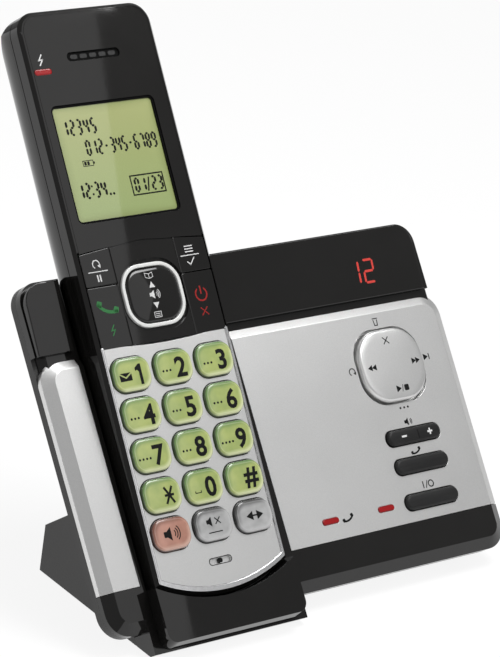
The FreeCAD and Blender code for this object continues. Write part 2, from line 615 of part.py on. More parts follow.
def gloss_cap(label, left, right, outer_left, outer_right):
    """A gloss cap of the top band: its face rises slightly towards the top edge."""
    body = new_body(label)
    outline = [(left, "cap_low"), (right, "cap_low")]
    if outer_right:
        outline += [(right, "cap_top - cap_corner", "cap_corner"), (f"{right} - cap_corner", "cap_top")]
    else:
        outline += [(right, "cap_top")]
    if outer_left:
        outline += [(f"{left} + cap_corner", "cap_top", "cap_corner"), (left, "cap_top - cap_corner")]
    else:
        outline += [(left, "cap_top")]
    solid(body, FACE, "-skin", "cap_lift", path, outline)
    hollow(body, SIDE, f"{left} - overcut", f"{right} + overcut", path, [
        ("cap_low - overcut", "0"), ("cap_top + overcut", "cap_lift"),
        ("cap_top + overcut", "cap_lift + overcut"), ("cap_low - overcut", "cap_lift + overcut")])
    return body


def trough_form(name, wall):
    """The cradle trough round the handset: its envelope grown by the running gap and a wall."""
    return leaned(handset_form(name, f"(cradle_gap + {wall})", f"(cradle_side_gap + {wall})",
                               "trough_front", "(handset_top + trough_rise)", shaped=False))


def front_cover():
    """Black front cover: bevelled frame, lower band, cradle trough and pedestal front in one moulding."""
    body = cover_envelope("front_cover_frame")
    solid(body, FACE, "-cover_depth", "-skin", crown_outline)
    for back, top in (("-cover_depth", "-slab_low + tongue_lap"), ("-rim_depth", "-slab_low - seam")):
        solid(body, FACE, back, "0", span, "-pedestal_half", "pedestal_half", "-slab_low - tongue_drop",
              top)
    hollow(body, SIDE, "-pedestal_half - overcut", "pedestal_half + overcut", span, "-table_reach", "0",
           "-overrun", "foot_rise", on_table=True)
    for x_mid in ("boss_near_x", "boss_far_x"):
        for u_mid in ("boss_low_u", "boss_top_u"):
            solid(body, FACE, "-mat_low", "-cover_depth + sink", circle_at, x_mid, u_mid, "boss_radius")
    for x_mid, u_mid in POST_PLACES:
        hollow(body, FACE, "-cover_depth - overcut", "-cover_depth + screw_bite + screw_tip_gap",
               circle_at, x_mid, u_mid, "screw_radius + snug")
    hollow(body, FACE, "-cover_depth - overcut", "overcut", rounded_at, "pad_x", "pad_u",
           "pad_width + 2 * (rock_gap + flange + key_gap)",
           "pad_height + 2 * (rock_gap + flange + key_gap)", "pad_corner + flange")
    for row, play in (("volume_u", "rock_gap + key_gap"), ("find_u", "key_gap"), ("answer_u", "key_gap")):
        hollow(body, FACE, "-cover_depth - overcut", "overcut", block_at, "pill_x", row,
               f"pill_width / 2 + flange + {play}", "pill_height / 2 + flange + key_gap")
    for column in ("in_use_x", "answer_x"):
        hollow(body, FACE, "-cover_depth - overcut", "overcut", rounded_at, *light_opening(column))
    hollow(body, FACE, "-cover_depth - overcut", "overcut", rounded_at, "display_x", "display_u",
           "display_width + 2 * display_gap", "display_height + 2 * display_gap",
           "module_corner + display_gap")
    bed = new_body("plate_bed")
    for left, right in (("-slab_left - overcut", "-trim_inner + seam"),
                        ("panel_inner - seam", "slab_right + overcut")):
        solid(bed, FACE, "-cover_depth - overcut", "overcut", span, left, right, "-plate_low - seam",
              "plate_top + bed_rise")
    beds = boolean("Cut", "plate_beds", bed, plate_core("bed_core"))
    frame = boolean("Cut", "front_cover_bedded", body, beds)
    block = new_body("trough_bounds")
    solid(block, FACE, "-hump_depth - overrun", "-cover_depth + sink", span, "-hump_left + sink",
          "hump_left", "-slab_low + trough_toe", "crown_top")
    trough = boolean("Common", "trough_block", block, trough_form("trough_outside", "trough_wall"))
    whole = boolean("Fuse", "front_cover_whole", frame, trough)
    open_cover = boolean("Cut", "front_cover_open", whole, trough_form("trough_inside", "0"))
    pins = new_body("contact_holes")
    for x_mid in ("-contact_x", "contact_x"):
        solid(pins, FACE, "-handset_depth - overrun", "-handset_depth + overcut", circle_at, x_mid,
              "contact_u", "contact_radius + contact_play")
    return boolean("Cut", "front_cover", open_cover, leaned(pins))


def lip_edge(edge):
    """Pick the lip's rounded edges: its upright corners and those along its lower front."""
    return upright(edge) or (edge.BoundBox.XLength < 1e-4 and edge.BoundBox.YMax < -value("lip_low") + 1e-3)


def cradle_lip():
    """Front lip that holds the handset's arched lower end."""
    body = new_body("cradle_lip")
    solid(body, SIDE, "-lip_half", "lip_half", path, [
        ("-lip_low - lip_slope", "snug"), ("-handset_low + end_drop + lip_land", "snug"),
        ("-handset_low + end_drop + lip_land", "lip_rise"), ("-lip_low", "lip_rise")])
    ease(body, lip_edge, "lip_ease")
    bite = leaned(handset_form("lip_bite", "lip_gap", "lip_gap + lip_side_play", "trough_front",
                               "(handset_top + trough_rise)", shaped=False))
    return boolean("Cut", "cradle_lip", body, bite)


# ---------------------------------------------------------------- base: rear shell and stand

def back_point(reach, height):
    """A point of the table's side view, given behind the face origin and above the table, in (U, N)."""
    rise = f"(({height}) - face_height)"
    return (f"(({reach}) * cos(face_tilt) + {rise} * sin(face_tilt))",
            f"(-({reach}) * sin(face_tilt) + {rise} * cos(face_tilt))")


def table_point(u, height):
    """A point of the side view at one place up the slope and one height above the table, in (U, N)."""
    return u, f"((({height}) - face_height - ({u}) * sin(face_tilt)) / cos(face_tilt))"


def upright_point(u, reach):
    """A point of the side view at one place up the slope and one reach behind the face origin, in (U, N)."""
    rise = f"((({u}) - ({reach}) * cos(face_tilt)) / sin(face_tilt))"
    return u, f"(-({reach}) * sin(face_tilt) + {rise} * cos(face_tilt))"


def stand_profile(inset, front):
    """Side profile of the stand: front wall, flat foot, upright back and a top square to the face."""
    top_u = f"({back_point('stand_back', 'stand_shelf')[0]} - {inset})"
    bottom_u = f"(-slab_low + stand_toe + {inset})"
    return [(bottom_u, front), (top_u, front), upright_point(top_u, f"stand_back - {inset}"),
            back_point(f"stand_back - {inset}", f"foot_rise + {inset}"),
            table_point(bottom_u, f"foot_rise + {inset}")][::-1]


def table_tool(piece):
    """Lay an object drawn in the table's frame into the face frame."""
    tilt = math.radians(value("face_tilt"))
    height = value("face_height")
    piece.Placement = Placement(Vector(0, -height * math.sin(tilt), -height * math.cos(tilt)),
                                Rotation(Vector(1, 0, 0), -value("face_tilt")))
    piece.setExpression("Placement.Base.y", cell("-face_height * sin(face_tilt)"))
    piece.setExpression("Placement.Base.z", cell("-face_height * cos(face_tilt)"))
    piece.setExpression("Placement.Rotation.Angle", cell("-face_tilt"))
    return piece


FOOT_PLACES = [(x_mid, y_mid) for x_mid in ("foot_left_x", "foot_right_x")
               for y_mid in ("foot_front_y", "(stand_back - foot_back_inset)")]
POST_PLACES = [(x_mid, u_mid) for x_mid in ("post_near_x", "post_far_x")
               for u_mid in ("post_low_u", "post_top_u")]
JACKS = {"line_jack": ("line_x", "line_width"), "power_jack": ("power_x", "power_width")}


def rear_shell():
    """Rear housing: slab rim, electronics hump and stand in one hollow moulding."""
    body = new_body("rear_shell_form")
    solid(body, FACE, "-rim_depth", "-cover_depth", slab_outline)
    solid(body, FACE, "-rim_depth", "-cover_depth", crown_outline)
    ease(body, at_level("-rim_depth"), "rim_ease", fillet=False)
    solid(body, SIDE, "-hump_left", "hump_right", path, [
        ("-hump_low", "-rim_depth + lap"), ("-hump_low + hump_slope", "-hump_depth"),
        ("hump_top - hump_slope", "-hump_depth"), ("hump_top", "-rim_depth + lap")])
    solid(body, SIDE, "-pedestal_half", "hump_right", path, stand_profile("0", "-rim_depth + lap"))
    solid(body, SIDE, "-pedestal_half", "pedestal_half", path, [
        ("-slab_low + toe_lap", "-cover_depth - toe_depth"),
        ("-slab_low + toe_lap", "-rim_depth - toe_depth"),
        table_point("-slab_low + stand_toe", "foot_rise"),
        table_point("-slab_low - toe_reach", "foot_rise"),
        ("-slab_low - toe_reach", "-cover_depth - toe_depth")][::-1])
    hollow(body, FACE, "-rim_depth + shell_wall", "-cover_depth", rounded, "-slab_left + shell_wall",
           "crown_right - shell_wall", "-slab_low + shell_wall", "crown_top - shell_wall",
           "slab_corner - shell_wall")
    hollow(body, SIDE, "-hump_left + shell_wall", "hump_right - shell_wall", path, [
        ("-hump_low + shell_wall", "-cover_depth"),
        ("-hump_low + hump_slope + shell_wall", "-hump_depth + shell_wall"),
        ("hump_top - hump_slope - shell_wall", "-hump_depth + shell_wall"),
        ("hump_top - shell_wall", "-cover_depth")])
    hollow(body, SIDE, "-pedestal_half + shell_wall", "hump_right - shell_wall", path,
           stand_profile("shell_wall", "-cover_depth"))
    for x_mid, u_mid in POST_PLACES:
        solid(body, FACE, "-hump_depth + sink", "-cover_depth", circle_at, x_mid, u_mid, "post_radius")
        hollow(body, FACE, "-hump_depth - overcut", "-cover_depth", circle_at, x_mid, u_mid,
               "screw_radius + screw_clear")
        hollow(body, FACE, "-hump_depth - overcut", "-hump_depth + screw_head_height + screw_sink",
               circle_at, x_mid, u_mid, "screw_seat")
    for number in range(-3, 4):
        shift = f"({number} * grille_pitch)"
        reach = f"(grille_share * sqrt(speaker_radius^2 - {shift}^2))"
        hollow(body, FACE, "-hump_depth - overcut", "-hump_depth + shell_wall + sink", block_at,
               f"speaker_x + {shift}", "speaker_u", "grille_slot / 2", reach)
    tools = []
    for number, (x_mid, y_mid) in enumerate(FOOT_PLACES):
        seat = new_body(f"foot_seat_{number}")
        solid(seat, FACE, "0", "foot_rise + foot_seat", circle_at, x_mid, y_mid, "foot_radius + snug")
        tools.append(table_tool(seat))
    for name, (x_mid, width) in JACKS.items():
        mouth = new_body(name + "_opening")
        solid(mouth, ACROSS, "stand_back - shell_wall - overcut", "stand_back + overcut", rounded_at,
              x_mid, "foot_rise + shell_wall + line_height / 2", f"{width} + 2 * jack_gap",
              "line_height + 2 * jack_gap", "jack_corner + jack_gap")
        tools.append(table_tool(mouth))
    tools.append(trough_form("cradle_channel", "(trough_wall + trough_play)"))
    return boolean("Cut", "rear_shell", body, *tools)


def rubber_feet():
    """Four rubber pads let into the foot of the stand."""
    pads = []
    for number, (x_mid, y_mid) in enumerate(FOOT_PLACES):
        pad = new_body(f"rubber_foot_{number}")
        solid(pad, FACE, "0", "foot_rise + foot_seat", circle_at, x_mid, y_mid, "foot_radius")
        ease(pad, at_level("0"), "foot_ease", fillet=False)
        pads.append(pad)
    return grouped("rubber_feet", pads)


def jack(label, x_mid, width):
    """A jack block that stands on the floor of the stand with its face in the back wall."""
    body = new_body(label)
    floor = "foot_rise + shell_wall"
    bottom, mouth = "stand_back - mouth_depth", "stand_back + overcut"
    solid(body, ACROSS, "stand_back - jack_depth", "stand_back - jack_sink", rounded_at, x_mid,
          f"{floor} + line_height / 2", width, "line_height", "jack_corner")
    if label == "line_jack":
        hollow(body, ACROSS, bottom, mouth, rounded_at, x_mid,
               f"{floor} + line_height / 2 + line_mouth_lift", "line_mouth_width", "line_mouth_height",
               "mouth_corner")
        hollow(body, ACROSS, bottom, mouth, rounded_at, x_mid,
               f"{floor} + (line_height - line_mouth_height) / 2", "line_latch_width",
               "line_latch_height", "mouth_corner")
    else:
        hollow(body, ACROSS, bottom, mouth, circle_at, x_mid, f"{floor} + line_height / 2", "power_bore")
        solid(body, ACROSS, f"{bottom} - lap", "stand_back - power_pin_sink", circle_at, x_mid,
              f"{floor} + line_height / 2", "power_pin")
    return body


def shell_screws():
    """Four screws from the back of the hump up the posts into the cover."""
    screws = []
    for number, (x_mid, u_mid) in enumerate(POST_PLACES):
        screw = new_body(f"shell_screw_{number}")
        seat = "-hump_depth + screw_head_height + screw_sink"
        solid(screw, FACE, "-hump_depth + screw_sink", seat, circle_at, x_mid, u_mid, "screw_head")
        solid(screw, FACE, "-hump_depth + screw_cross_depth", "-cover_depth + screw_bite", circle_at,
              x_mid, u_mid, "screw_radius")
        arms = ("screw_head - screw_cross", "screw_cross / 2")
        for half_sizes in (arms, arms[::-1]):
            hollow(screw, FACE, "-hump_depth", "-hump_depth + screw_cross_depth", block_at, x_mid, u_mid,
                   *half_sizes)
        screws.append(screw)
    return grouped("shell_screws", screws)


# ---------------------------------------------------------------- base: electronics

def base_board():
    """Main circuit board under the control panel, notched round the screw posts."""
    body = new_body("base_board")
    solid(body, FACE, "-board_low", "-mat_low", rounded, "board_left", "board_right", "-board_bottom",
          "board_top", "board_corner")
    for x_mid, u_mid in POST_PLACES:
        hollow(body, FACE, "-board_low - overcut", "-mat_low", circle_at, x_mid, u_mid,
               "post_radius + post_gap")
    return body


def base_key_mat():
    """Rubber key mat with one dome under each switch point."""
    body = new_body("base_key_mat")
    solid(body, FACE, "-mat_low", "-mat_top", rounded, "mat_left", "mat_right", "-mat_u_low", "mat_u_top",
          "mat_corner")
    places = [(f"pad_x + {x_turn} * dome_reach", f"pad_u + {u_turn} * dome_reach", "-rock_dome_top")
              for x_turn, u_turn in ((1, 0), (-1, 0), (0, 1), (0, -1))]
    places += [(f"pill_x + {side} * dome_reach", "volume_u", "-rock_dome_top") for side in (-1, 1)]
    places += [("pill_x", row, "-dome_top") for row in ("find_u", "answer_u")]
    for x_mid, u_mid, top in places:
        solid(body, FACE, "-mat_low", top, block_at, x_mid, u_mid, "dome_half", "dome_half")
    return body


def loudspeaker():
    """Loudspeaker on the back wall of the hump: magnet pot, basket and rim."""
    body = new_body("loudspeaker")
    back = "-hump_depth + shell_wall"
    solid(body, FACE, back, f"{back} + speaker_rim", circle_at, "speaker_x", "speaker_u",
          "speaker_radius")
    solid(body, FACE, f"{back} + sink", f"{back} + speaker_basket", circle_at, "speaker_x", "speaker_u",
          "basket_share * speaker_radius")
    ease(body, at_level(f"{back} + speaker_basket"), "basket_ease", fillet=False)
    solid(body, FACE, f"{back} + speaker_basket - lap", f"{back} + speaker_depth", circle_at, "speaker_x",
          "speaker_u", "magnet_share * speaker_radius")
    return body


def light(label, x_mid):
    """A light bar that stands on the board and ends just proud of the panel."""
    body = new_body(label)
    solid(body, FACE, "-mat_low", "light_rise", rounded_at, x_mid, "light_u", "light_width",
          "light_height", "round_end * light_height")
    return body


def message_display():
    """Two-digit display module on the board, right behind the gloss cap."""
    body = new_body("message_display")
    solid(body, FACE, "-mat_low", "-skin - display_gap", rounded_at, "display_x", "display_u",
          "display_width", "display_height", "module_corner")
    for side in (-1, 1):
        hollow(body, FACE, "-skin - digit_sink", "-skin", block_at, f"display_x + {side} * digit_x",
               "display_u", "digit_half", "display_height / 2 - digit_margin")
    return body


def charge_contact(label, x_mid):
    """A sprung contact pin in the cradle floor, held by its collar under the floor."""
    body = new_body(label)
    tip = "-(handset_depth + contact_gap)"
    floor = "-(handset_depth + cradle_gap + trough_wall)"
    solid(body, FACE, f"{tip} - contact_length", tip, circle_at, x_mid, "contact_u", "contact_radius")
    ease(body, at_level(tip), "contact_ease", fillet=False)
    solid(body, FACE, f"{floor} - contact_flange_gap - contact_flange_depth",
          f"{floor} - contact_flange_gap", circle_at, x_mid, "contact_u", "contact_flange")
    return body


# ---------------------------------------------------------------- base: keys of the control panel

def pill_key(label, u_mid):
    """A pill-shaped push key with its retaining flange under the silver plate."""
    body = new_body(label)
    solid(body, FACE, "-panel_flange_top - flange_depth", "pill_rise", rounded_at, "pill_x", u_mid,
          "pill_width", "pill_height", "round_end * pill_height")
    ease(body, at_level("pill_rise"), "key_ease", fillet=False)
    solid(body, FACE, "-panel_flange_top - flange_depth", "-panel_flange_top", block_at, "pill_x", u_mid,
          "pill_width / 2 + flange", "pill_height / 2 + flange")
    return body


def volume_rocker():
    """Volume rocker: a pill key that tips about a ridge under its middle."""
    body = new_body("volume_rocker")
    solid(body, FACE, "-rock_flange_top - flange_depth", "pill_rise", rounded_at, "pill_x", "volume_u",
          "pill_width", "pill_height", "round_end * pill_height")
    ease(body, at_level("pill_rise"), "key_ease", fillet=False)
    solid(body, FACE, "-rock_flange_top - flange_depth", "-rock_flange_top", block_at, "pill_x",
          "volume_u", "pill_width / 2 + flange", "pill_height / 2 + rock_flange")
    solid(body, FACE, "-gimbal_low", "-rock_flange_top", block_at, "pill_x", "volume_u", "ridge_width / 2",
          "pill_height / 2")
    return body


def skip_pad():
    """Four-way pad: a rounded square with a raised, eased crown and a flange below the plate."""
    body = new_body("skip_pad")
    solid(body, FACE, "-rock_flange_top - flange_depth", "pad_rise", rounded_at, "pad_x", "pad_u",
          "pad_width", "pad_height", "pad_corner")
    ease(body, at_level("pad_rise"), "pad_ease", fillet=False)
    solid(body, FACE, "-rock_flange_top - flange_depth", "-rock_flange_top", rounded_at, "pad_x", "pad_u",
          "pad_width + 2 * flange", "pad_height + 2 * flange", "pad_corner + flange / 2")
    return body


def pad_gimbal():
    """Small disc that the four-way pad tips on, itself tipping the other way."""
    body = new_body("pad_gimbal")
    solid(body, FACE, "-gimbal_low", "-rock_low - gimbal_gap", circle_at, "pad_x", "pad_u",
          "gimbal_radius")
    return body


# ---------------------------------------------------------------- handset shells

def sag_at(x_mid):
    """Drop of the lens's lower edge at one distance from its middle."""
    return f"(lens_bow - sqrt(lens_bow^2 - ({x_mid})^2))"


def handset_front_shell():
    """Front shell: bevelled frame with seats for the lens, the soft keys and the key plate."""
    body = new_body("handset_front_shell")
    drop = "(end_radius - sqrt(end_radius^2 - handset_half^2))"
    solid(body, FACE, "-parting", "0", path, [
        ("-handset_half", f"-handset_low + {drop}", "end_radius"),
        ("handset_half", f"-handset_low + {drop}"),
        ("handset_half", "handset_top - handset_corner", "handset_corner"),
        ("handset_half - handset_corner", "handset_top"),
        ("-handset_half + handset_corner", "handset_top", "handset_corner"),
        ("-handset_half", "handset_top - handset_corner")])
    ease(body, at_level("0"), "bezel", fillet=False)
    ease(body, at_level("-parting"), "parting_ease", fillet=False)
    hollow(body, FACE, "-face_seat", "0", path,
           end_arc("face_half + face_gap", "handset_low - (handset_half - face_half) + face_gap",
                   "(face_radius + face_gap)", "keyplate_top + keyplate_sag"))
    hollow(body, FACE, "-soft_floor", "0", rounded, "-soft_outer - soft_gap", "soft_outer + soft_gap",
           "keyplate_top", "lens_low - lens_sag / 2", "soft_ease")
    seat, seat_top = "lens_half + lens_gap", "lens_top + lens_gap"
    hollow(body, FACE, "-lens_depth", "0", path, [
        (f"-({seat})", "lens_low - lens_lap"), (seat, "lens_low - lens_lap"),
        (seat, f"{seat_top} - lens_corner", "lens_corner"), (f"{seat} - lens_corner", seat_top),
        (f"-({seat}) + lens_corner", seat_top, "lens_corner"),
        (f"-({seat})", f"{seat_top} - lens_corner")])
    hollow(body, FACE, "-parting - overcut", "0", rounded, "-face_open_half", "face_open_half",
           "-inner_low + opening_lap", "inner_top", "opening_corner")
    hollow(body, FACE, "-parting - overcut", "0", rounded, "-key_open_half", "key_open_half",
           "-inner_low", "keyplate_top + opening_step", "opening_corner")
    return body


def handset_blank(name):
    """The whole handset envelope."""
    return handset_form(name, "0", "0", "0", "handset_top", shaped=True)


def handset_cavity(name):
    """The space inside the handset's walls."""
    return handset_form(name, "-handset_wall", "-handset_wall", "overcut",
                        "(handset_top - handset_wall)", shaped=True)


def door_region(name, seam):
    """The block that bounds the battery door."""
    body = new_body(name)
    solid(body, FACE, "-2 * handset_depth", "-door_front", rounded, f"-door_half - {seam}",
          f"door_half + {seam}", f"door_low - {seam}", f"door_top + {seam}", f"door_corner + {seam}")
    return body


def sound_slots():
    """Cutter for the slots in the handset's back, in a round patch above the battery door."""
    cutter = new_body("sound_slots")
    for number in range(-2, 3):
        shift = f"({number} * vent_pitch)"
        solid(cutter, FACE, "-handset_depth - overcut",
              "-handset_depth + neck_thin + handset_wall + overcut", block_at, "0", f"vent_u + {shift}",
              f"sqrt(vent_radius^2 - {shift}^2)", "vent_width / 2")
    return cutter


def handset_rear_shell():
    """Rear shell with its round back, the battery opening, sound slots and the two terminal holes."""
    front = new_body("handset_front_space")
    solid(front, FACE, "-parting", "overcut", span, "-handset_half - overcut",
          "handset_half + overcut", "-handset_low - overcut", "handset_top + overcut")
    holes = new_body("terminal_holes")
    for x_mid in ("-contact_x", "contact_x"):
        solid(holes, FACE, "-handset_depth - overcut", "-handset_depth + handset_wall + overcut",
              circle_at, x_mid, "contact_u", "terminal_radius + snug")
    return boolean("Cut", "handset_rear_shell", handset_blank("handset_rear_blank"), front,
                   handset_cavity("handset_rear_cavity"), door_region("battery_opening", "door_seam"),
                   sound_slots(), holes)


def battery_door():
    """Battery door: the piece of the back wall inside the battery opening, with three thumb grooves."""
    panel = boolean("Common", "battery_door_panel", handset_blank("battery_door_blank"),
                    door_region("battery_door_bounds", "0"))
    grip = new_body("battery_door_grip")
    for number in range(3):
        solid(grip, FACE, "-handset_depth - overcut", "-handset_depth + grip_sink", block_at, "0",
              f"door_top - grip_drop - {number} * grip_pitch", "grip_half", "grip_width / 2")
    return boolean("Cut", "battery_door", panel, handset_cavity("battery_door_cavity"), grip)


def charge_terminals():
    """Two flush charging terminals in the back of the handset."""
    terminals = []
    for number, x_mid in enumerate(("-contact_x", "contact_x")):
        terminal = new_body(f"charge_terminal_{number}")
        solid(terminal, FACE, "-handset_depth", "-handset_depth + handset_wall + terminal_tail",
              circle_at, x_mid, "contact_u", "terminal_radius")
        terminals.append(terminal)
    return grouped("charge_terminals", terminals)


# ---------------------------------------------------------------- handset face

def display_lens():
    """Gloss lens over the display, with a stem that runs down round the navigation ring."""
    body = new_body("display_lens")
    stem_top = f"lens_low - {sag_at('stem_half')}"
    solid(body, FACE, "-lens_depth", "0", path, [
        ("-lens_half", "lens_low - lens_sag", "-lens_bow"), ("-stem_half", stem_top),
        ("-stem_half", "stem_low"), ("stem_half", "stem_low"), ("stem_half", stem_top, "-lens_bow"),
        ("lens_half", "lens_low - lens_sag"), ("lens_half", "lens_top - lens_corner", "lens_corner"),
        ("lens_half - lens_corner", "lens_top"), ("-lens_half + lens_corner", "lens_top", "lens_corner"),
        ("-lens_half", "lens_top - lens_corner")])
    hollow(body, FACE, "-lens_depth", "overcut", rounded_at, "nav_x", "nav_u", "ring_width",
           "ring_height", "ring_corner")
    hollow(body, FACE, "-slot_sink", "overcut", rounded_at, "0", "slot_u", "slot_length", "slot_height",
           "round_end * slot_height")
    for number in range(-2, 3):
        hollow(body, FACE, "-lens_depth", "overcut", block_at, f"{number} * slot_pitch", "slot_u",
               "slot_width / 2", "slot_height / 2 - slot_land")
    hollow(body, FACE, "-lens_depth", "overcut", rounded_at, "charge_x", "charge_u",
           "charge_width + lens_gap", "charge_height + lens_gap", "round_end * charge_height")
    return body


def lcd_panel():
    """Liquid crystal module between the board and the lens."""
    body = new_body("lcd_panel")
    solid(body, FACE, "-parting", "-lcd_front", rounded, "-lcd_half - lcd_margin",
          "lcd_half + lcd_margin", "lcd_low - lcd_margin", "lcd_top + lcd_margin", "module_corner")
    return body


def receiver():
    """Earpiece capsule behind the slots of the lens."""
    body = new_body("receiver")
    solid(body, FACE, "-parting", "-lcd_front - receiver_step", circle_at, "0", "slot_u", "receiver_radius")
    solid(body, FACE, "-lcd_front - receiver_step - sink", "-lcd_front", circle_at, "0", "slot_u",
          "receiver_radius - receiver_lip")
    return body


def charge_light():
    """Charge light: a bar in the lens on a stem from the board."""
    body = new_body("charge_light")
    solid(body, FACE, "-lens_depth", "charge_rise", rounded_at, "charge_x", "charge_u", "charge_width",
          "charge_height", "round_end * charge_height")
    solid(body, FACE, "-parting", "-lens_depth + sink", block_at, "charge_x + charge_stem_shift",
          "charge_u", "charge_stem / 2", "charge_height / 2 - face_gap")
    return body


def keyplate_outline():
    """Outline of the silver key plate: arched lower end, gently dished upper edge."""
    corners = end_arc("plate_half", "keyplate_low", "keyplate_radius", "keyplate_top + keyplate_sag")
    corners[2] = corners[2] + ("-keyplate_bow",)
    return corners


KEY_ROWS = [(f"{column} * key_pitch_x", f"-{row} * key_pitch_u")
            for row in range(4) for column in (-1, 0, 1)]
KEY_NAMES = ["key_1", "key_2", "key_3", "key_4", "key_5", "key_6", "key_7", "key_8", "key_9", "key_star",
             "key_0", "key_hash"]
FUNCTION_KEYS = {"speaker_key": "-key_pitch_x", "mute_key": "0", "intercom_key": "key_pitch_x"}


def keypad_plate():
    """Silver key plate with an opening for each key and the microphone slot."""
    body = new_body("keypad_plate")
    solid(body, FACE, "-face_seat", "0", path, keyplate_outline())
    openings = [(x_mid, u_mid, "key_height") for x_mid, u_mid in KEY_ROWS]
    openings += [(x_mid, "function_u", "function_height") for x_mid in FUNCTION_KEYS.values()]
    for x_mid, u_mid, height in openings:
        hollow(body, FACE, "-face_seat", "overcut", rounded_at, x_mid, u_mid, "key_width + 2 * key_gap",
               f"{height} + 2 * key_gap", "key_corner + key_gap")
    hollow(body, FACE, "-face_seat / 2", "overcut", rounded_at, "0", "mic_u", "mic_width", "mic_height",
           "round_end * mic_height")
    hollow(body, FACE, "-face_seat", "0", circle_at, "0", "mic_u", "mic_bore")
    return body


def keypad_rim():
    """Bright rim that runs down both sides of the key plate and round its lower end."""
    body = new_body("keypad_rim")
    solid(body, FACE, "-face_seat", "rim_rise", path,
          end_arc("face_half", "handset_low - (handset_half - face_half)", "face_radius",
                  "keyplate_top + keyplate_sag - rim_foot"))
    hollow(body, FACE, "-face_seat", "rim_rise + overcut", path,
           end_arc("plate_half + snug", "keyplate_low + snug", "(keyplate_radius + snug)",
                   "keyplate_top + keyplate_sag + overcut"))
    return body


def push_key(label, x_mid, u_mid, height):
    """A keypad key: eased cap through the plate, flange under it."""
    body = new_body(label)
    low = "-(face_seat + flange_gap + flange_depth)"
    solid(body, FACE, low, "key_rise", rounded_at, x_mid, u_mid, "key_width", height, "key_corner")
    ease(body, at_level("key_rise"), "key_top_ease", fillet=False)
    solid(body, FACE, low, "-(face_seat + flange_gap)", block_at, x_mid, u_mid,
          "key_width / 2 + key_flange", f"{height} / 2 + key_flange")
    return body


def navigation_ring():
    """White ring round the navigation key, seated in the lens."""
    body = new_body("navigation_ring")
    solid(body, FACE, "-lens_depth", "ring_rise", rounded_at, "nav_x", "nav_u",
          "ring_width - lens_gap", "ring_height - lens_gap", "ring_corner")
    ease(body, at_level("ring_rise"), "ring_ease", fillet=False)
    hollow(body, FACE, "-lens_depth", "overcut", rounded_at, "nav_x", "nav_u",
           "ring_width - 2 * ring_band", "ring_height - 2 * ring_band", "ring_corner - ring_band")
    return body


def navigation_key():
    """Two-way navigation key that tips on a ridge across its underside."""
    body = new_body("navigation_key")
    low = "-(lens_depth + rock_drop + flange_depth)"
    width = "(ring_width - 2 * (ring_band + nav_gap))"
    height = "(ring_height - 2 * (ring_band + nav_gap))"
    solid(body, FACE, low, "nav_rise", rounded_at, "nav_x", "nav_u", width, height,
          "ring_corner - ring_band - nav_gap")
    ease(body, at_level("nav_rise"), "nav_ease", fillet=False)
    solid(body, FACE, low, "-(lens_depth + rock_drop)", rounded_at, "nav_x", "nav_u",
          f"{width} + 2 * nav_flange", f"{height} + 2 * nav_flange", "ring_corner - ring_band")
    solid(body, FACE, "-keymat_top + nav_ridge_gap", f"{low} + sink", block_at, "nav_x", "nav_u",
          "nav_ridge_half", "ridge_width / 2")
    return body


def soft_key(label, side, upper):
    """One of the four flat keys beside the navigation ring, shaped to the lens or the plate edge."""
    body = new_body(label)
    if upper:
        low_outer = low_inner = "soft_split + soft_gap / 2"
        top_outer = f"lens_low - {sag_at('lens_half')} - soft_gap"
        top_inner = f"lens_low - {sag_at('soft_inner')} - soft_gap"
    else:
        low_outer = "keyplate_top + keyplate_sag + soft_gap"
        low_inner = "keyplate_top + keyplate_sag * (soft_inner / plate_half)^2 + soft_gap"
        top_outer = top_inner = "soft_split - soft_gap / 2"
    if side > 0:
        corners = [("soft_inner", low_inner), ("soft_outer", low_outer), ("soft_outer", top_outer),
                   ("soft_inner", top_inner)]
    else:
        corners = [("-soft_outer", low_outer), ("-soft_inner", low_inner), ("-soft_inner", top_inner),
                   ("-soft_outer", top_outer)]
    solid(body, FACE, "-soft_depth", "0", path, corners)
    ease(body, upright, "soft_ease")
    return body


# ---------------------------------------------------------------- handset insides

def handset_board():
    """Handset circuit board on the underside of the front shell."""
    body = new_body("handset_board")
    solid(body, FACE, "-keyboard_low", "-parting", rounded, "-keyboard_half", "keyboard_half",
          "-keyboard_bottom", "keyboard_top", "keyboard_corner")
    return body


def handset_key_mat():
    """Rubber key mat of the handset with a dome under each key."""
    body = new_body("handset_key_mat")
    solid(body, FACE, "-parting", "-keymat_top", rounded, "-keymat_half", "keymat_half", "-keymat_u_low",
          "keymat_u_top", "mat_corner")
    places = KEY_ROWS + [(x_mid, "function_u") for x_mid in FUNCTION_KEYS.values()]
    places += [("nav_x", f"nav_u + {side} * nav_reach") for side in (-1, 1)]
    places += [(f"{side} * (soft_inner + soft_outer) / 2", u_mid) for side in (-1, 1)
               for u_mid in ("soft_split + soft_reach_up", "soft_split - soft_reach_down")]
    for x_mid, u_mid in places:
        solid(body, FACE, "-parting", "-pad_top", block_at, x_mid, u_mid, "pad_half", "pad_half")
    return body


def microphone():
    """Microphone capsule behind its slot."""
    body = new_body("microphone")
    solid(body, FACE, "-parting", "-face_seat - mic_gap", circle_at, "0", "mic_u", "mic_radius")
    return body


def battery_pack():
    """Two round cells side by side in one sleeve."""
    body = new_body("battery_pack")
    middle = "-(handset_depth - handset_wall - battery_gap - battery_radius)"
    for side in ("-battery_x", "battery_x"):
        solid(body, ACROSS, "battery_u_low", "battery_u_low + battery_length", circle_at, side, middle,
              "battery_radius")
    return body


# ---------------------------------------------------------------- every sub-part and its frame

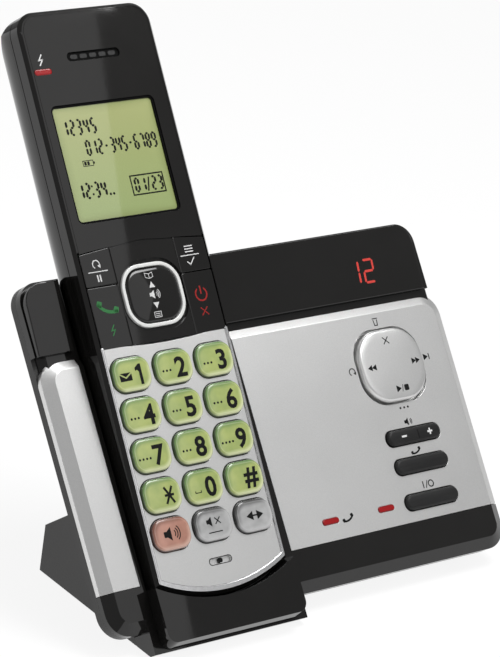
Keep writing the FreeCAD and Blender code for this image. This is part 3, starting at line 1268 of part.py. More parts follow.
def build_pieces():
    """Build each sub-part once and register it with its frame."""
    keep(rear_shell(), "rear_shell", "base")
    keep(front_cover(), "front_cover", "base")
    keep(cradle_lip(), "cradle_lip", "base")
    keep(left_trim_plate(), "left_trim_plate", "base")
    keep(control_panel_plate(), "control_panel_plate", "base")
    keep(gloss_cap("left_cap", "-cap_left", "-trim_inner", True, False), "left_cap", "base")
    keep(gloss_cap("display_cap", "panel_inner - cap_overlap", "cap_right", False, True), "display_cap",
         "base")
    keep(base_board(), "base_board", "base")
    keep(base_key_mat(), "base_key_mat", "base")
    keep(loudspeaker(), "loudspeaker", "base")
    keep(light("in_use_light", "in_use_x"), "in_use_light", "base")
    keep(light("answer_light", "answer_x"), "answer_light", "base")
    keep(message_display(), "message_display", "base")
    keep(shell_screws(), "shell_screws", "base")
    keep(skip_pad(), "skip_pad", "base")
    keep(pad_gimbal(), "pad_gimbal", "base")
    keep(volume_rocker(), "volume_rocker", "base")
    keep(pill_key("find_handset_key", "find_u"), "find_handset_key", "base")
    keep(pill_key("answer_key", "answer_u"), "answer_key", "base")
    keep(rubber_feet(), "rubber_feet", "table")
    for name, (x_mid, width) in JACKS.items():
        keep(jack(name, x_mid, width), name, "table")
    keep(charge_contact("charge_contact_left", "-contact_x"), "charge_contact_left", "handset")
    keep(charge_contact("charge_contact_right", "contact_x"), "charge_contact_right", "handset")
    for make in (handset_front_shell, handset_rear_shell, battery_door, charge_terminals, display_lens,
                 lcd_panel, receiver, charge_light, keypad_plate, keypad_rim, navigation_ring,
                 navigation_key, handset_board, handset_key_mat, microphone, battery_pack):
        keep(make(), make.__name__, "handset")
    for label, side, upper in (("redial_key", -1, True), ("menu_key", 1, True), ("talk_key", -1, False),
                               ("off_key", 1, False)):
        keep(soft_key(label, side, upper), label, "handset")
    for label, (x_mid, u_mid) in zip(KEY_NAMES, KEY_ROWS):
        keep(push_key(label, x_mid, u_mid, "key_height"), label, "handset")
    for label, x_mid in FUNCTION_KEYS.items():
        keep(push_key(label, x_mid, "function_u", "function_height"), label, "handset")


def stand_up():
    """Lean every piece into its place and set the origin under the middle of the whole, on the table."""
    base = Placement(Vector(0, 0, value("face_height")), Rotation(Vector(1, 0, 0), value("face_tilt")))
    handset = base * Placement(Vector(0, 0, value("handset_rise")),
                               Rotation(Vector(1, 0, 0), value("handset_lean")))
    frames = {"base": base, "handset": handset, "table": Placement()}
    whole = FreeCAD.BoundBox()
    for piece, _, frame in PIECES:
        shape = piece.Shape.copy()
        shape.Placement = frames[frame]
        whole.add(shape.optimalBoundingBox(False))
    shift = Placement(Vector(-whole.Center.x, -whole.Center.y, -whole.ZMin), Rotation())
    for piece, _, frame in PIECES:
        piece.Placement = shift * frames[frame]
    DOC.recompute()
    return shift.Base, whole


def check_document():
    """Stop before writing anything if an object failed or a sub-part isn't a valid solid."""
    for item in DOC.Objects:
        if {"Invalid", "Error"} & set(item.State):
            raise RuntimeError(f"{item.Label}: {item.State}")
    for piece, label, _ in PIECES:
        shape = piece.Shape
        if shape.isNull() or not shape.isValid() or not shape.Solids:
            raise RuntimeError(f"{label}: the shape isn't a valid solid")


def main():
    """Build the document, check it and write one STEP file for each sub-part."""
    build_pieces()
    shift, whole = stand_up()
    check_document()
    os.makedirs("parts", exist_ok=True)
    for piece, label, _ in PIECES:
        piece.Shape.exportStep(os.path.join("parts", label + ".step"))
        print(f"{label}: {len(piece.Shape.Solids)} solid(s), {piece.Shape.Volume:.0f} mm3")
    print(f"{len(PIECES)} sub-parts, shift ({shift.x:.4f}, {shift.y:.4f}, {shift.z:.4f}),",
          f"size {whole.XLength:.2f} x {whole.YLength:.2f} x {whole.ZLength:.2f} mm")


if __name__ == "__main__":
    main()
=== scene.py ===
"""Finishes, signs and moulded surfaces of a desktop cordless answering machine.

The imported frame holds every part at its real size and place. Nearly everything that is seen lies on one of
two flat working faces, the base's and the handset's, so each class below draws its pieces in millimetres in
its own face (X to the right, U up the slope, N out of it) and the face carries them into the shared frame.
"""
import json
import logging
import math
from dataclasses import dataclass, field
from enum import Enum

import bmesh
import bpy
import numpy as np
from mathutils import Matrix, Vector


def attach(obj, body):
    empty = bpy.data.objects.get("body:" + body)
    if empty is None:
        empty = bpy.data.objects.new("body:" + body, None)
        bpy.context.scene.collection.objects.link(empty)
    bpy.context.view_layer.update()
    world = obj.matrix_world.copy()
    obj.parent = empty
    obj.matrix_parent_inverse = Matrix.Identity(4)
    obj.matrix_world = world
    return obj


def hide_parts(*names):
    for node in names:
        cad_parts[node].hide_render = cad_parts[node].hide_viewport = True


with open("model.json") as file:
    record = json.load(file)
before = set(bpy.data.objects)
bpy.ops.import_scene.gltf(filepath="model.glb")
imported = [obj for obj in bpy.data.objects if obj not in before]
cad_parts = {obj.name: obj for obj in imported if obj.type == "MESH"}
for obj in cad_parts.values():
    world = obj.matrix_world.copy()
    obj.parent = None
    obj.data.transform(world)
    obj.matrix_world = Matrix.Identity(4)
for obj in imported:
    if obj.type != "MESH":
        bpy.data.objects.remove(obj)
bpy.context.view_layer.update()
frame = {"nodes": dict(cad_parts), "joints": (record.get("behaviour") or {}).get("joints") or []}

LOG = logging.getLogger("answering_machine")
MM = 0.001
Array = np.ndarray
Colour = tuple[float, float, float]
QUARTER_HANDLE = 0.5523  # handle of a cubic curve that stands in for a quarter circle, per radius


# ---------------------------------------------------------------- working faces


@dataclass(frozen=True)
class Face:
    """A flat working face in the shared frame.

    Args:
        origin: The face's own origin, in metres.
        normal: The direction out of the face.
    """

    origin: Array
    normal: Array

    @classmethod
    def from_joints(cls, press: str, tip: str, place: tuple[float, float, float]) -> "Face":
        """Works a face out from two joints of the keys that are set in it.

        Args:
            press: The joint of a key that presses square into the face.
            tip: The joint of a key that tips on a hinge.
            place: That hinge's place in the face, in millimetres.

        Returns:
            The face that the keys are set in.
        """
        joints = {joint["name"]: joint for joint in frame["joints"]}
        normal = -np.array(joints[press]["axis"], float)
        blank = cls(np.zeros(3), normal / np.linalg.norm(normal))
        return cls(np.array(joints[tip]["pos_m"]) - blank.world(np.array([place]))[0], blank.normal)

    @property
    def up(self) -> Array:
        """The direction up the slope."""
        return np.array([0.0, self.normal[2], -self.normal[1]])

    def world(self, points: Array) -> Array:
        """Carries points from the face's millimetres into the shared frame.

        Args:
            points: An array of (x, u, n) rows.

        Returns:
            The same rows in metres in the shared frame.
        """
        points = np.asarray(points, float)
        across = np.array([1.0, 0.0, 0.0])
        axes = np.stack([across, self.up, self.normal])
        return self.origin + MM * points @ axes


BASE = Face.from_joints("answer_key_press", "volume_rocker_tip", (86.3, -33.4, -4.5))
HANDSET = Face.from_joints("key_5_press", "navigation_key_tip", (0.0, 22.0, -3.9))


# ---------------------------------------------------------------- outlines and surfaces


def outline(corners: list[tuple[float, float]], radii: list[float], bulges: list[float] | None = None,
            step: float = 1.0, turns: int = 8) -> Array:
    """Draws a closed outline with rounded corners.

    Run i goes from corner i to the next as P + t·C + 4b·t(1 − t)·O, a chord C bent outwards by b. Where a
    corner has a radius, a cubic curve tangent to both runs takes the corner's place.

    Args:
        corners: The corners, counter-clockwise.
        radii: The radius at each corner.
        bulges: How far each run bends outwards at its middle.
        step: The spacing of points along a run.
        turns: The number of parts in a rounded corner.

    Returns:
        An array of (x, u) rows round the outline.
    """
    start = np.array(corners, float)
    count = len(start)
    chord = np.roll(start, -1, 0) - start
    length = np.linalg.norm(chord, axis=1)
    out = np.stack([chord[:, 1], -chord[:, 0]], 1) / length[:, None]
    bend = np.zeros(count) if bulges is None else np.array(bulges, float)

    def on_run(i: int, t: Array) -> Array:
        """Points of run i at shares t."""
        t = np.atleast_1d(t)[:, None]
        return start[i] + t * chord[i] + 4 * bend[i] * t * (1 - t) * out[i]

    def heading(i: int, t: float) -> Array:
        """Direction of run i at share t."""
        way = chord[i] + 4 * bend[i] * (1 - 2 * t) * out[i]
        return way / np.linalg.norm(way)

    parts = []
    for i in range(count):
        j = (i + 1) % count
        first, last = radii[i] / length[i], 1 - radii[j] / length[i]
        samples = max(2, round((last - first) * length[i] / step) + 1)
        parts.append(on_run(i, np.linspace(first, last, samples)))
        if radii[j] > 0:
            onward = radii[j] / length[j]
            a, d = on_run(i, last)[0], on_run(j, onward)[0]
            handle = QUARTER_HANDLE * radii[j]
            b, c = a + heading(i, last) * handle, d - heading(j, onward) * handle
            s = np.linspace(0, 1, turns + 1)[1:-1, None]
            parts.append((1 - s)**3 * a + 3 * s * (1 - s)**2 * b + 3 * s**2 * (1 - s) * c + s**3 * d)
    loop = np.vstack(parts)
    gap = np.linalg.norm(loop - np.roll(loop, 1, 0), axis=1)
    return loop[gap > 1e-6]


def box_outline(x: float, u: float, width: float, height: float, radius: float, bulge: float = 0.0,
                step: float = 1.0, turns: int = 8) -> Array:
    """Draws a rounded rectangle.

    Args:
        x: Its middle across.
        u: Its middle up.
        width: Its width.
        height: Its height.
        radius: Its corner radius.
        bulge: How far its sides bend outwards.
        step: The spacing of points along a side.
        turns: The number of parts in a rounded corner.

    Returns:
        An array of (x, u) rows round the outline.
    """
    a, b = width / 2 - bulge, height / 2 - bulge
    corners = [(x - a, u - b), (x + a, u - b), (x + a, u + b), (x - a, u + b)]
    return outline(corners, [radius] * 4, [bulge] * 4, step, turns)


def outward(loop: Array) -> Array:
    """Unit normals of a counter-clockwise outline, from the chord through each point's neighbours."""
    way = np.roll(loop, -1, 0) - np.roll(loop, 1, 0)
    normal = np.stack([way[:, 1], -way[:, 0]], 1)
    return normal / np.linalg.norm(normal, axis=1)[:, None]


def shoulder(inset: float, low: float, rise: float, parts: int = 5) -> list[tuple[float, float]]:
    """A quarter-round profile: inset i(1 − cos a) and height low + rise·sin a, as a goes to a right angle."""
    angle = np.linspace(0, math.pi / 2, parts + 1)
    return list(zip(inset * (1 - np.cos(angle)), low + rise * np.sin(angle)))


@dataclass
class Surface:
    """Points and faces in a face's millimetres, with named values kept at the points."""

    points: Array
    faces: list[tuple[int, ...]]
    marks: dict[str, Array] = field(default_factory=dict)


@dataclass(frozen=True)
class Dome:
    """A crown over a rounded rectangle: top + crown·(1 − g), where g = ((x/a)⁴ + (u/b)⁴)^½."""

    x: float
    u: float
    half_width: float
    half_height: float
    top: float
    crown: float

    def height(self, flat: Array) -> Array:
        """Heights over (x, u) rows."""
        g = np.sqrt(((flat[:, 0] - self.x) / self.half_width)**4
                    + ((flat[:, 1] - self.u) / self.half_height)**4)
        return self.top + self.crown * (1 - np.clip(g, 0, 1))


@dataclass(frozen=True)
class Slope:
    """A flat that rises evenly up the face, from nothing at its foot."""

    foot: float
    rate: float

    def height(self, flat: Array) -> Array:
        """Heights over (x, u) rows."""
        return (flat[:, 1] - self.foot) * self.rate


def strips(count: int, rows: int, closed: bool = False) -> list[tuple[int, ...]]:
    """Joins rings of points with quads, ring k to ring k + 1.

    Args:
        count: The number of points in a ring.
        rows: The number of rings.
        closed: Whether the last ring joins the first.

    Returns:
        The quads.
    """
    here = np.arange(count)
    onward = np.roll(here, -1)
    quads = [np.stack([k * count + here, k * count + onward, (k + 1) % rows * count + onward,
                       (k + 1) % rows * count + here], 1) for k in range(rows if closed else rows - 1)]
    return [tuple(quad) for quad in np.vstack(quads).tolist()]


def moulding(loop: Array, profile: list[tuple[float, float]], dome: Dome | None = None,
             rings: int = 5, band: float = 2.2) -> Surface:
    """Carries an outline through a profile, and closes it below with a flat and above with a crown.

    Profile ring k is loop − inset·normal at its height. A crown ring is middle + s·(last ring − middle), at
    the dome's height there. The marks say how near a point is to the outline, and on which side of it.

    Args:
        loop: The outline, counter-clockwise.
        profile: (inset, height) pairs from the underside up.
        dome: The crown over the last ring; without one the top is flat, and a rounded edge is held off it
            by one more ring.
        rings: The number of crown rings.
        band: The distance over which the edge mark fades, in millimetres.

    Returns:
        The closed surface.
    """
    count = len(loop)
    normal = outward(loop)
    if dome is None and len(profile) > 2:
        profile = profile + [(profile[-1][0] + 0.2, profile[-1][1])]
    flat = [loop - inset * normal for inset, _ in profile]
    level = [np.full(count, height) for _, height in profile]
    last = flat[-1]
    middle = (last.min(0) + last.max(0)) / 2
    if dome is not None:
        level[-1] = np.maximum(dome.height(last), profile[-1][1])
        for share in np.linspace(1, 0, rings + 1)[1:-1]:
            ring = middle + share * (last - middle)
            flat.append(ring)
            level.append(dome.height(ring))
    points = np.hstack([np.vstack(flat), np.concatenate(level)[:, None]])
    here = np.arange(count)
    onward = np.roll(here, -1)
    faces = strips(count, len(flat)) + [tuple(here[::-1].tolist())]
    near = np.tile(loop, (len(flat), 1))
    side = np.tile(normal, (len(flat), 1))
    start = (len(flat) - 1) * count
    if dome is None:
        faces.append(tuple((start + here).tolist()))
    else:
        peak = np.array([[*middle, float(dome.height(middle[None])[0])]])
        points = np.vstack([points, peak])
        near, side = np.vstack([near, middle + [band, 0]]), np.vstack([side, [1, 0]])
        tip = np.full(count, len(points) - 1)
        faces += [tuple(f) for f in np.stack([start + here, start + onward, tip], 1).tolist()]
    edge = np.clip(1 - np.linalg.norm(points[:, :2] - near, axis=1) / band, 0, 1)
    return Surface(points, faces, {"edge": edge, "rise": edge * side[:, 1], "across": edge * side[:, 0]})


def ring_moulding(outer: Array, inner: Array, low: float, top: float, ease: float) -> Surface:
    """A band between two outlines with the same number of points, its top edges eased by a quarter-round.

    Args:
        outer: The outer outline.
        inner: The inner outline, point for point beside the outer one.
        low: The underside's height.
        top: The top's height.
        ease: The rounding of the two top edges.

    Returns:
        The closed band.
    """
    count = len(outer)
    rise = shoulder(ease, top - ease, ease, 3)
    flat = [outer, *(outer - i * outward(outer) for i, _ in rise),
            *(inner + i * outward(inner) for i, _ in rise[::-1]), inner]
    heights = [low, *(h for _, h in rise), *(h for _, h in rise[::-1]), low]
    points = np.vstack([np.hstack([f, np.full((count, 1), h)]) for f, h in zip(flat, heights)])
    return Surface(points, strips(count, len(flat), True))


# ---------------------------------------------------------------- shader graphs


WHITE = (1.0, 1.0, 1.0, 1.0)
VALUE, VECTOR = "NodeSocketFloat", "NodeSocketVector"
Socket = bpy.types.NodeSocket


class Graph:
    """A node tree that is being wired."""

    def __init__(self, tree: bpy.types.NodeTree) -> None:
        """Starts on a tree."""
        self.tree = tree

    def join(self, source: Socket, node: bpy.types.Node, socket: str | int) -> None:
        """Feeds a node's socket from another."""
        self.tree.links.new(source, node.inputs[socket])

    def add(self, kind: str, inputs: dict | None = None, **settings: object) -> bpy.types.Node:
        """Adds a node and joins or sets its inputs.

        Args:
            kind: The node's type, without the leading ShaderNode.
            inputs: Sockets by name or number, each with a value or the socket that feeds it.
            **settings: Properties of the node.

        Returns:
            The node.
        """
        node = self.tree.nodes.new("ShaderNode" + kind)
        for key, value in settings.items():
            setattr(node, key, value)
        for key, value in (inputs or {}).items():
            if isinstance(value, Socket):
                self.join(value, node, key)
            else:
                node.inputs[key].default_value = value
        return node

    def blend(self, factor: object, first: object, second: object) -> Socket:
        """Mixes two colours, given as colours or sockets."""
        pair = [(*c, 1) if isinstance(c, tuple) else c for c in (first, second)]
        return self.add("Mix", {0: factor, 6: pair[0], 7: pair[1]}, data_type="RGBA").outputs[2]

    def sum(self, way: str, first: object, second: object = 0.0, clamp: bool = False) -> Socket:
        """Works a value out from two, given as numbers or sockets."""
        return self.add("Math", {0: first, 1: second}, operation=way, use_clamp=clamp).outputs[0]

    def spread(self, value: Socket, low: float, high: float, to_low: float = 0.0,
               to_high: float = 1.0) -> Socket:
        """Maps a value from one range to another."""
        return self.add("MapRange", {0: value, 1: low, 2: high, 3: to_low, 4: to_high}).outputs[0]


class Effect(Graph):
    """A shader node group, built once and placed in many materials with their own values."""

    def __init__(self, name: str, inputs: dict[str, float | None], outputs: dict[str, str]) -> None:
        """Starts the group.

        Args:
            name: The group's name.
            inputs: Inputs by name, each with its default value, or None for a vector.
            outputs: Outputs by name, each with its socket type.
        """
        super().__init__(bpy.data.node_groups.new(name, "ShaderNodeTree"))
        for label, value in inputs.items():
            kind = VECTOR if value is None else VALUE
            socket = self.tree.interface.new_socket(label, in_out="INPUT", socket_type=kind)
            if value is not None:
                socket.default_value = value
        for label, kind in outputs.items():
            self.tree.interface.new_socket(label, in_out="OUTPUT", socket_type=kind)
        self.source = self.tree.nodes.new("NodeGroupInput").outputs
        self.sink = self.tree.nodes.new("NodeGroupOutput")

    def put(self, **results: Socket) -> bpy.types.NodeTree:
        """Joins results to the outputs of their names, and gives the finished group."""
        for label, result in results.items():
            self.join(result, self.sink, label)
        return self.tree


def moulded_grain() -> bpy.types.NodeTree:
    """Moulded texture: fine noise raised as a bump, and the same noise as a value.

    Returns:
        The finished group.
    """
    g = Effect("Moulded grain", {"Vector": None, "Scale": 2500.0, "Depth": 0.2},
               {"Value": VALUE, "Normal": VECTOR})
    noise = g.add("TexNoise", {"Vector": g.source["Vector"], "Scale": g.source["Scale"],
                               "Detail": 2.0}).outputs["Fac"]
    bump = g.add("Bump", {"Strength": g.source["Depth"], "Distance": 0.00008, "Height": noise})
    return g.put(Value=noise, Normal=bump.outputs["Normal"])


def handling_marks() -> bpy.types.NodeTree:
    """Handling marks: broad smudges with hair scratches over them, as one mask.

    Returns:
        The finished group.
    """
    g = Effect("Handling marks", {"Vector": None, "Smudge": 22.0, "Scratch": 0.35}, {"Mask": VALUE})
    broad = g.add("TexNoise", {"Vector": g.source["Vector"], "Scale": g.source["Smudge"], "Detail": 4.0,
                               "Roughness": 0.62})
    turned = g.add("Mapping", {"Vector": g.source["Vector"], "Rotation": (0.5, 0.3, 0.9),
                               "Scale": (90.0, 2600.0, 2600.0)})
    hairs = g.add("TexNoise", {"Vector": turned.outputs[0], "Scale": 1.0, "Detail": 1.0})
    scratch = g.sum("MULTIPLY", g.spread(hairs.outputs["Fac"], 0.66, 0.72), g.source["Scratch"])
    return g.put(Mask=g.sum("ADD", g.spread(broad.outputs["Fac"], 0.38, 0.72), scratch, True))


def paint_flake() -> bpy.types.NodeTree:
    """Metallic paint flakes: small cells, each with its own brightness and slight tilt.

    Returns:
        The finished group.
    """
    g = Effect("Paint flake", {"Vector": None, "Scale": 5200.0, "Tilt": 0.2},
               {"Value": VALUE, "Normal": VECTOR})
    cells = g.add("TexVoronoi", {"Vector": g.source["Vector"], "Scale": g.source["Scale"]})
    shade = g.add("SeparateColor", {"Color": cells.outputs["Color"]}).outputs
    bump = g.add("Bump", {"Strength": g.source["Tilt"], "Distance": 0.00004, "Height": shade[0]})
    return g.put(Value=shade[1], Normal=bump.outputs["Normal"])


GRAIN, HANDLING, FLAKE = moulded_grain(), handling_marks(), paint_flake()


# ---------------------------------------------------------------- finishes


class Wiring(Graph):
    """A material that is being wired, with its shader and its piece's Object coordinates."""

    def __init__(self, name: str) -> None:
        """Starts a material."""
        self.material = bpy.data.materials.new(name)
        self.material.use_nodes = True
        super().__init__(self.material.node_tree)
        self.shader = self.tree.nodes["Principled BSDF"]
        self.place = self.add("TexCoord").outputs["Object"]

    def group(self, tree: bpy.types.NodeTree, **values: float) -> object:
        """Places a shared effect on the Object coordinates with its own values, and gives its outputs."""
        return self.add("Group", {"Vector": self.place, **values}, node_tree=tree).outputs

    def grain(self, scale: float, depth: float) -> object:
        """The outputs of the moulded grain."""
        return self.group(GRAIN, Scale=scale, Depth=depth)

    def marks(self, **values: float) -> Socket:
        """The mask of the handling marks."""
        return self.group(HANDLING, **values)["Mask"]

    def kept(self, name: str) -> Socket:
        """A value kept at the piece's own points."""
        return self.add("Attribute", attribute_name=name).outputs["Fac"]

    def finish(self, colour: Socket, roughness: Socket, normal: Socket,
               **numbers: float) -> bpy.types.Material:
        """Feeds the shader and sets its plain numbers.

        Args:
            colour: Feeds its Base Color.
            roughness: Feeds its Roughness.
            normal: Feeds its Normal.
            **numbers: Plain numbers by socket, named with underscores for spaces.

        Returns:
            The finished material.
        """
        for label, source in (("Base Color", colour), ("Roughness", roughness), ("Normal", normal)):
            self.join(source, self.shader, label)
        for label, number in numbers.items():
            self.shader.inputs[label.replace("_", " ")].default_value = number
        return self.material


@dataclass(frozen=True)
class Finish:
    """A finish, known by its name."""

    name: str

    @property
    def material(self) -> bpy.types.Material:
        """The finish's material, wired at its first use."""
        return bpy.data.materials.get(self.name) or self.wire(Wiring(self.name))

    def wire(self, kit: Wiring) -> bpy.types.Material:
        """Wires the material; each kind of finish has its own way.

        Args:
            kit: The material that is being wired.

        Returns:
            The finished material.
        """
        raise NotImplementedError


@dataclass(frozen=True)
class MouldedPlastic(Finish):
    """Moulded plastic, from mirror gloss to a fine spark texture.

    Args:
        colour: The plastic's own colour.
        worn: The colour where hands have dulled it.
        gloss: Roughness where it is clean, and where it is handled.
        texture: Scale and depth of the moulded texture.
        coat: The weight of the clear top layer.
        shine: The strength of its mirror reflection, where a half is usual for plastic.
    """

    colour: Colour
    worn: Colour
    gloss: tuple[float, float]
    texture: tuple[float, float]
    coat: float = 0.0
    shine: float = 0.5

    def wire(self, kit: Wiring) -> bpy.types.Material:
        """Dulls the plastic where it is handled."""
        marks = kit.marks()
        return kit.finish(kit.blend(marks, self.colour, self.worn), kit.spread(marks, 0, 1, *self.gloss),
                          kit.grain(*self.texture)["Normal"], Coat_Weight=self.coat, Coat_Roughness=0.04,
                          Specular_IOR_Level=self.shine)


@dataclass(frozen=True)
class MetallicPaint(Finish):
    """Silver paint with fine flakes under a satin top coat, or a bright metallised rim."""

    bright: Colour
    dark: Colour
    metal: float
    gloss: tuple[float, float]
    flake: tuple[float, float]

    def wire(self, kit: Wiring) -> bpy.types.Material:
        """Gives each flake its own brightness and tilt."""
        flake = kit.group(FLAKE, Scale=self.flake[0], Tilt=self.flake[1])
        return kit.finish(kit.blend(flake["Value"], self.dark, self.bright),
                          kit.spread(kit.marks(Smudge=14.0, Scratch=0.2), 0, 1, *self.gloss), flake["Normal"],
                          Metallic=self.metal)


@dataclass(frozen=True)
class TintedKeyPlastic(Finish):
    """Clear tinted key: printed colour in the middle, painted shade on the upper edge, a painted highlight
    rim.
    """

    # middle is the printed colour; upper is painted shade, rim a painted highlight, and line a painted shade
    # line at the foot
    middle: Colour
    upper: Colour
    rim: Colour
    line: Colour

    def wire(self, kit: Wiring) -> bpy.types.Material:
        """Clouds the colour; paints shade at the upper left, highlights at the lower right and inside the
        rim, and a shade line at the foot.
        """
        edge, rise, across = (kit.kept(name) for name in ("edge", "rise", "across"))
        cloud = kit.add("TexNoise", {"Vector": kit.place, "Scale": 260.0, "Detail": 2.0}).outputs["Fac"]
        colour = kit.blend(kit.spread(cloud, 0.3, 0.7, 0.0, 0.35), self.middle, self.upper)
        # painted shade on the key's upper left edge
        painted_shade_side = kit.sum("SUBTRACT", rise, kit.sum("MULTIPLY", across, 0.7))
        colour = kit.blend(kit.spread(painted_shade_side, 0.05, 0.7), colour, self.upper)
        # painted highlight on the key's lower right edge
        painted_highlight_side = kit.sum("SUBTRACT", kit.sum("MULTIPLY", across, 0.8), rise)
        colour = kit.blend(kit.spread(painted_highlight_side, 0.15, 0.7, 0.0, 0.7), colour, self.rim)
        # painted highlight: a pale line just inside the key's rim
        painted_highlight_line = kit.sum("ABSOLUTE", kit.sum("SUBTRACT", edge, 0.62))
        colour = kit.blend(kit.spread(painted_highlight_line, 0.0, 0.1, 0.32, 0.0), colour, self.rim)
        # painted shade: a dark line round the key's foot
        colour = kit.blend(kit.spread(edge, 0.86, 0.97, 0.0, 0.9), colour, self.line)
        return kit.finish(colour, kit.spread(kit.marks(Smudge=60.0), 0, 1, 0.12, 0.24),
                          kit.grain(900.0, 0.06)["Normal"], Coat_Weight=0.7, Coat_Roughness=0.06)


@dataclass(frozen=True)
class GlowingLens(Finish):
    """A tinted light lens with a brighter core and moulded ribs."""

    colour: Colour
    core: Colour
    strength: float

    def wire(self, kit: Wiring) -> bpy.types.Material:
        """Brightens the lens and its light away from the edge."""
        body = kit.blend(kit.spread(kit.kept("edge"), 0.2, 0.95), self.core, self.colour)
        kit.join(body, kit.shader, "Emission Color")
        ribs = kit.grain(1600.0, 0.15)
        return kit.finish(body, kit.spread(ribs["Value"], 0.3, 0.7, 0.1, 0.22), ribs["Normal"],
                          Emission_Strength=self.strength, Coat_Weight=0.15, Specular_IOR_Level=0.3)


@dataclass(frozen=True)
class PrintedInk(Finish):
    """Screen-printed ink: flat, slightly uneven in tone."""

    colour: Colour
    gloss: float = 0.45

    def wire(self, kit: Wiring) -> bpy.types.Material:
        """Thins the ink unevenly."""
        grain = kit.grain(3000.0, 0.1)
        thin = tuple(0.82 * c for c in self.colour)
        return kit.finish(kit.blend(grain["Value"], thin, self.colour),
                          kit.spread(grain["Value"], 0.3, 0.7, self.gloss, self.gloss + 0.15),
                          grain["Normal"], Specular_IOR_Level=0.15)


@dataclass(frozen=True)
class DisplayGlass(Finish):
    """Liquid crystal face: olive reflector seen through a gloss sheet, greener below, with painted shade at
    its border.

    Args:
        light: The reflector's colour at its top.
        foot: Its colour at its lower end.
        deep: Its painted shade colour at its border, which also deepens its weave.
        span: The heights of its lower end and its top, in metres.
    """

    light: Colour
    foot: Colour
    deep: Colour
    span: tuple[float, float]

    def wire(self, kit: Wiring) -> bpy.types.Material:
        """Grades the reflector by height, paints shade at its border, and deepens it in its weave."""
        weave = kit.grain(5000.0, 0.02)
        height = kit.add("SeparateXYZ", {"Vector": kit.place}).outputs["Z"]
        colour = kit.blend(kit.spread(height, *self.span), self.foot, self.light)
        # painted shade along the border, as if cast by the window's recess
        colour = kit.blend(kit.spread(kit.kept("edge"), 0.0, 1.0, 0.0, 0.85), colour, self.deep)
        colour = kit.blend(kit.sum("MULTIPLY", weave["Value"], 0.12), colour, self.deep)
        return kit.finish(colour, kit.spread(kit.marks(Smudge=30.0, Scratch=0.1), 0, 1, 0.16, 0.26),
                          weave["Normal"], Coat_Weight=1.0, Coat_Roughness=0.02, Coat_IOR=1.8)


@dataclass(frozen=True)
class BareMetal(Finish):
    """Drawn or turned metal with fine lines and a few dull patches."""

    colour: Colour
    dull: Colour
    gloss: tuple[float, float]

    def wire(self, kit: Wiring) -> bpy.types.Material:
        """Dulls the metal in patches."""
        marks = kit.marks(Smudge=160.0, Scratch=0.6)
        return kit.finish(kit.blend(marks, self.colour, self.dull), kit.spread(marks, 0, 1, *self.gloss),
                          kit.grain(6000.0, 0.15)["Normal"], Metallic=1.0)


@dataclass(frozen=True)
class CircuitLaminate(Finish):
    """Circuit board: solder resist with lighter copper runs beneath."""

    resist: Colour = (0.012, 0.085, 0.03)
    copper: Colour = (0.03, 0.17, 0.06)

    def wire(self, kit: Wiring) -> bpy.types.Material:
        """Lays copper runs between square cells."""
        cells = kit.add("TexVoronoi", {"Vector": kit.place, "Scale": 320.0}, feature="F1",
                        distance="MANHATTAN").outputs["Distance"]
        grain = kit.grain(2200.0, 0.2)
        return kit.finish(kit.blend(kit.spread(cells, 0.42, 0.46), self.resist, self.copper),
                          kit.spread(grain["Value"], 0.3, 0.7, 0.25, 0.4), grain["Normal"])


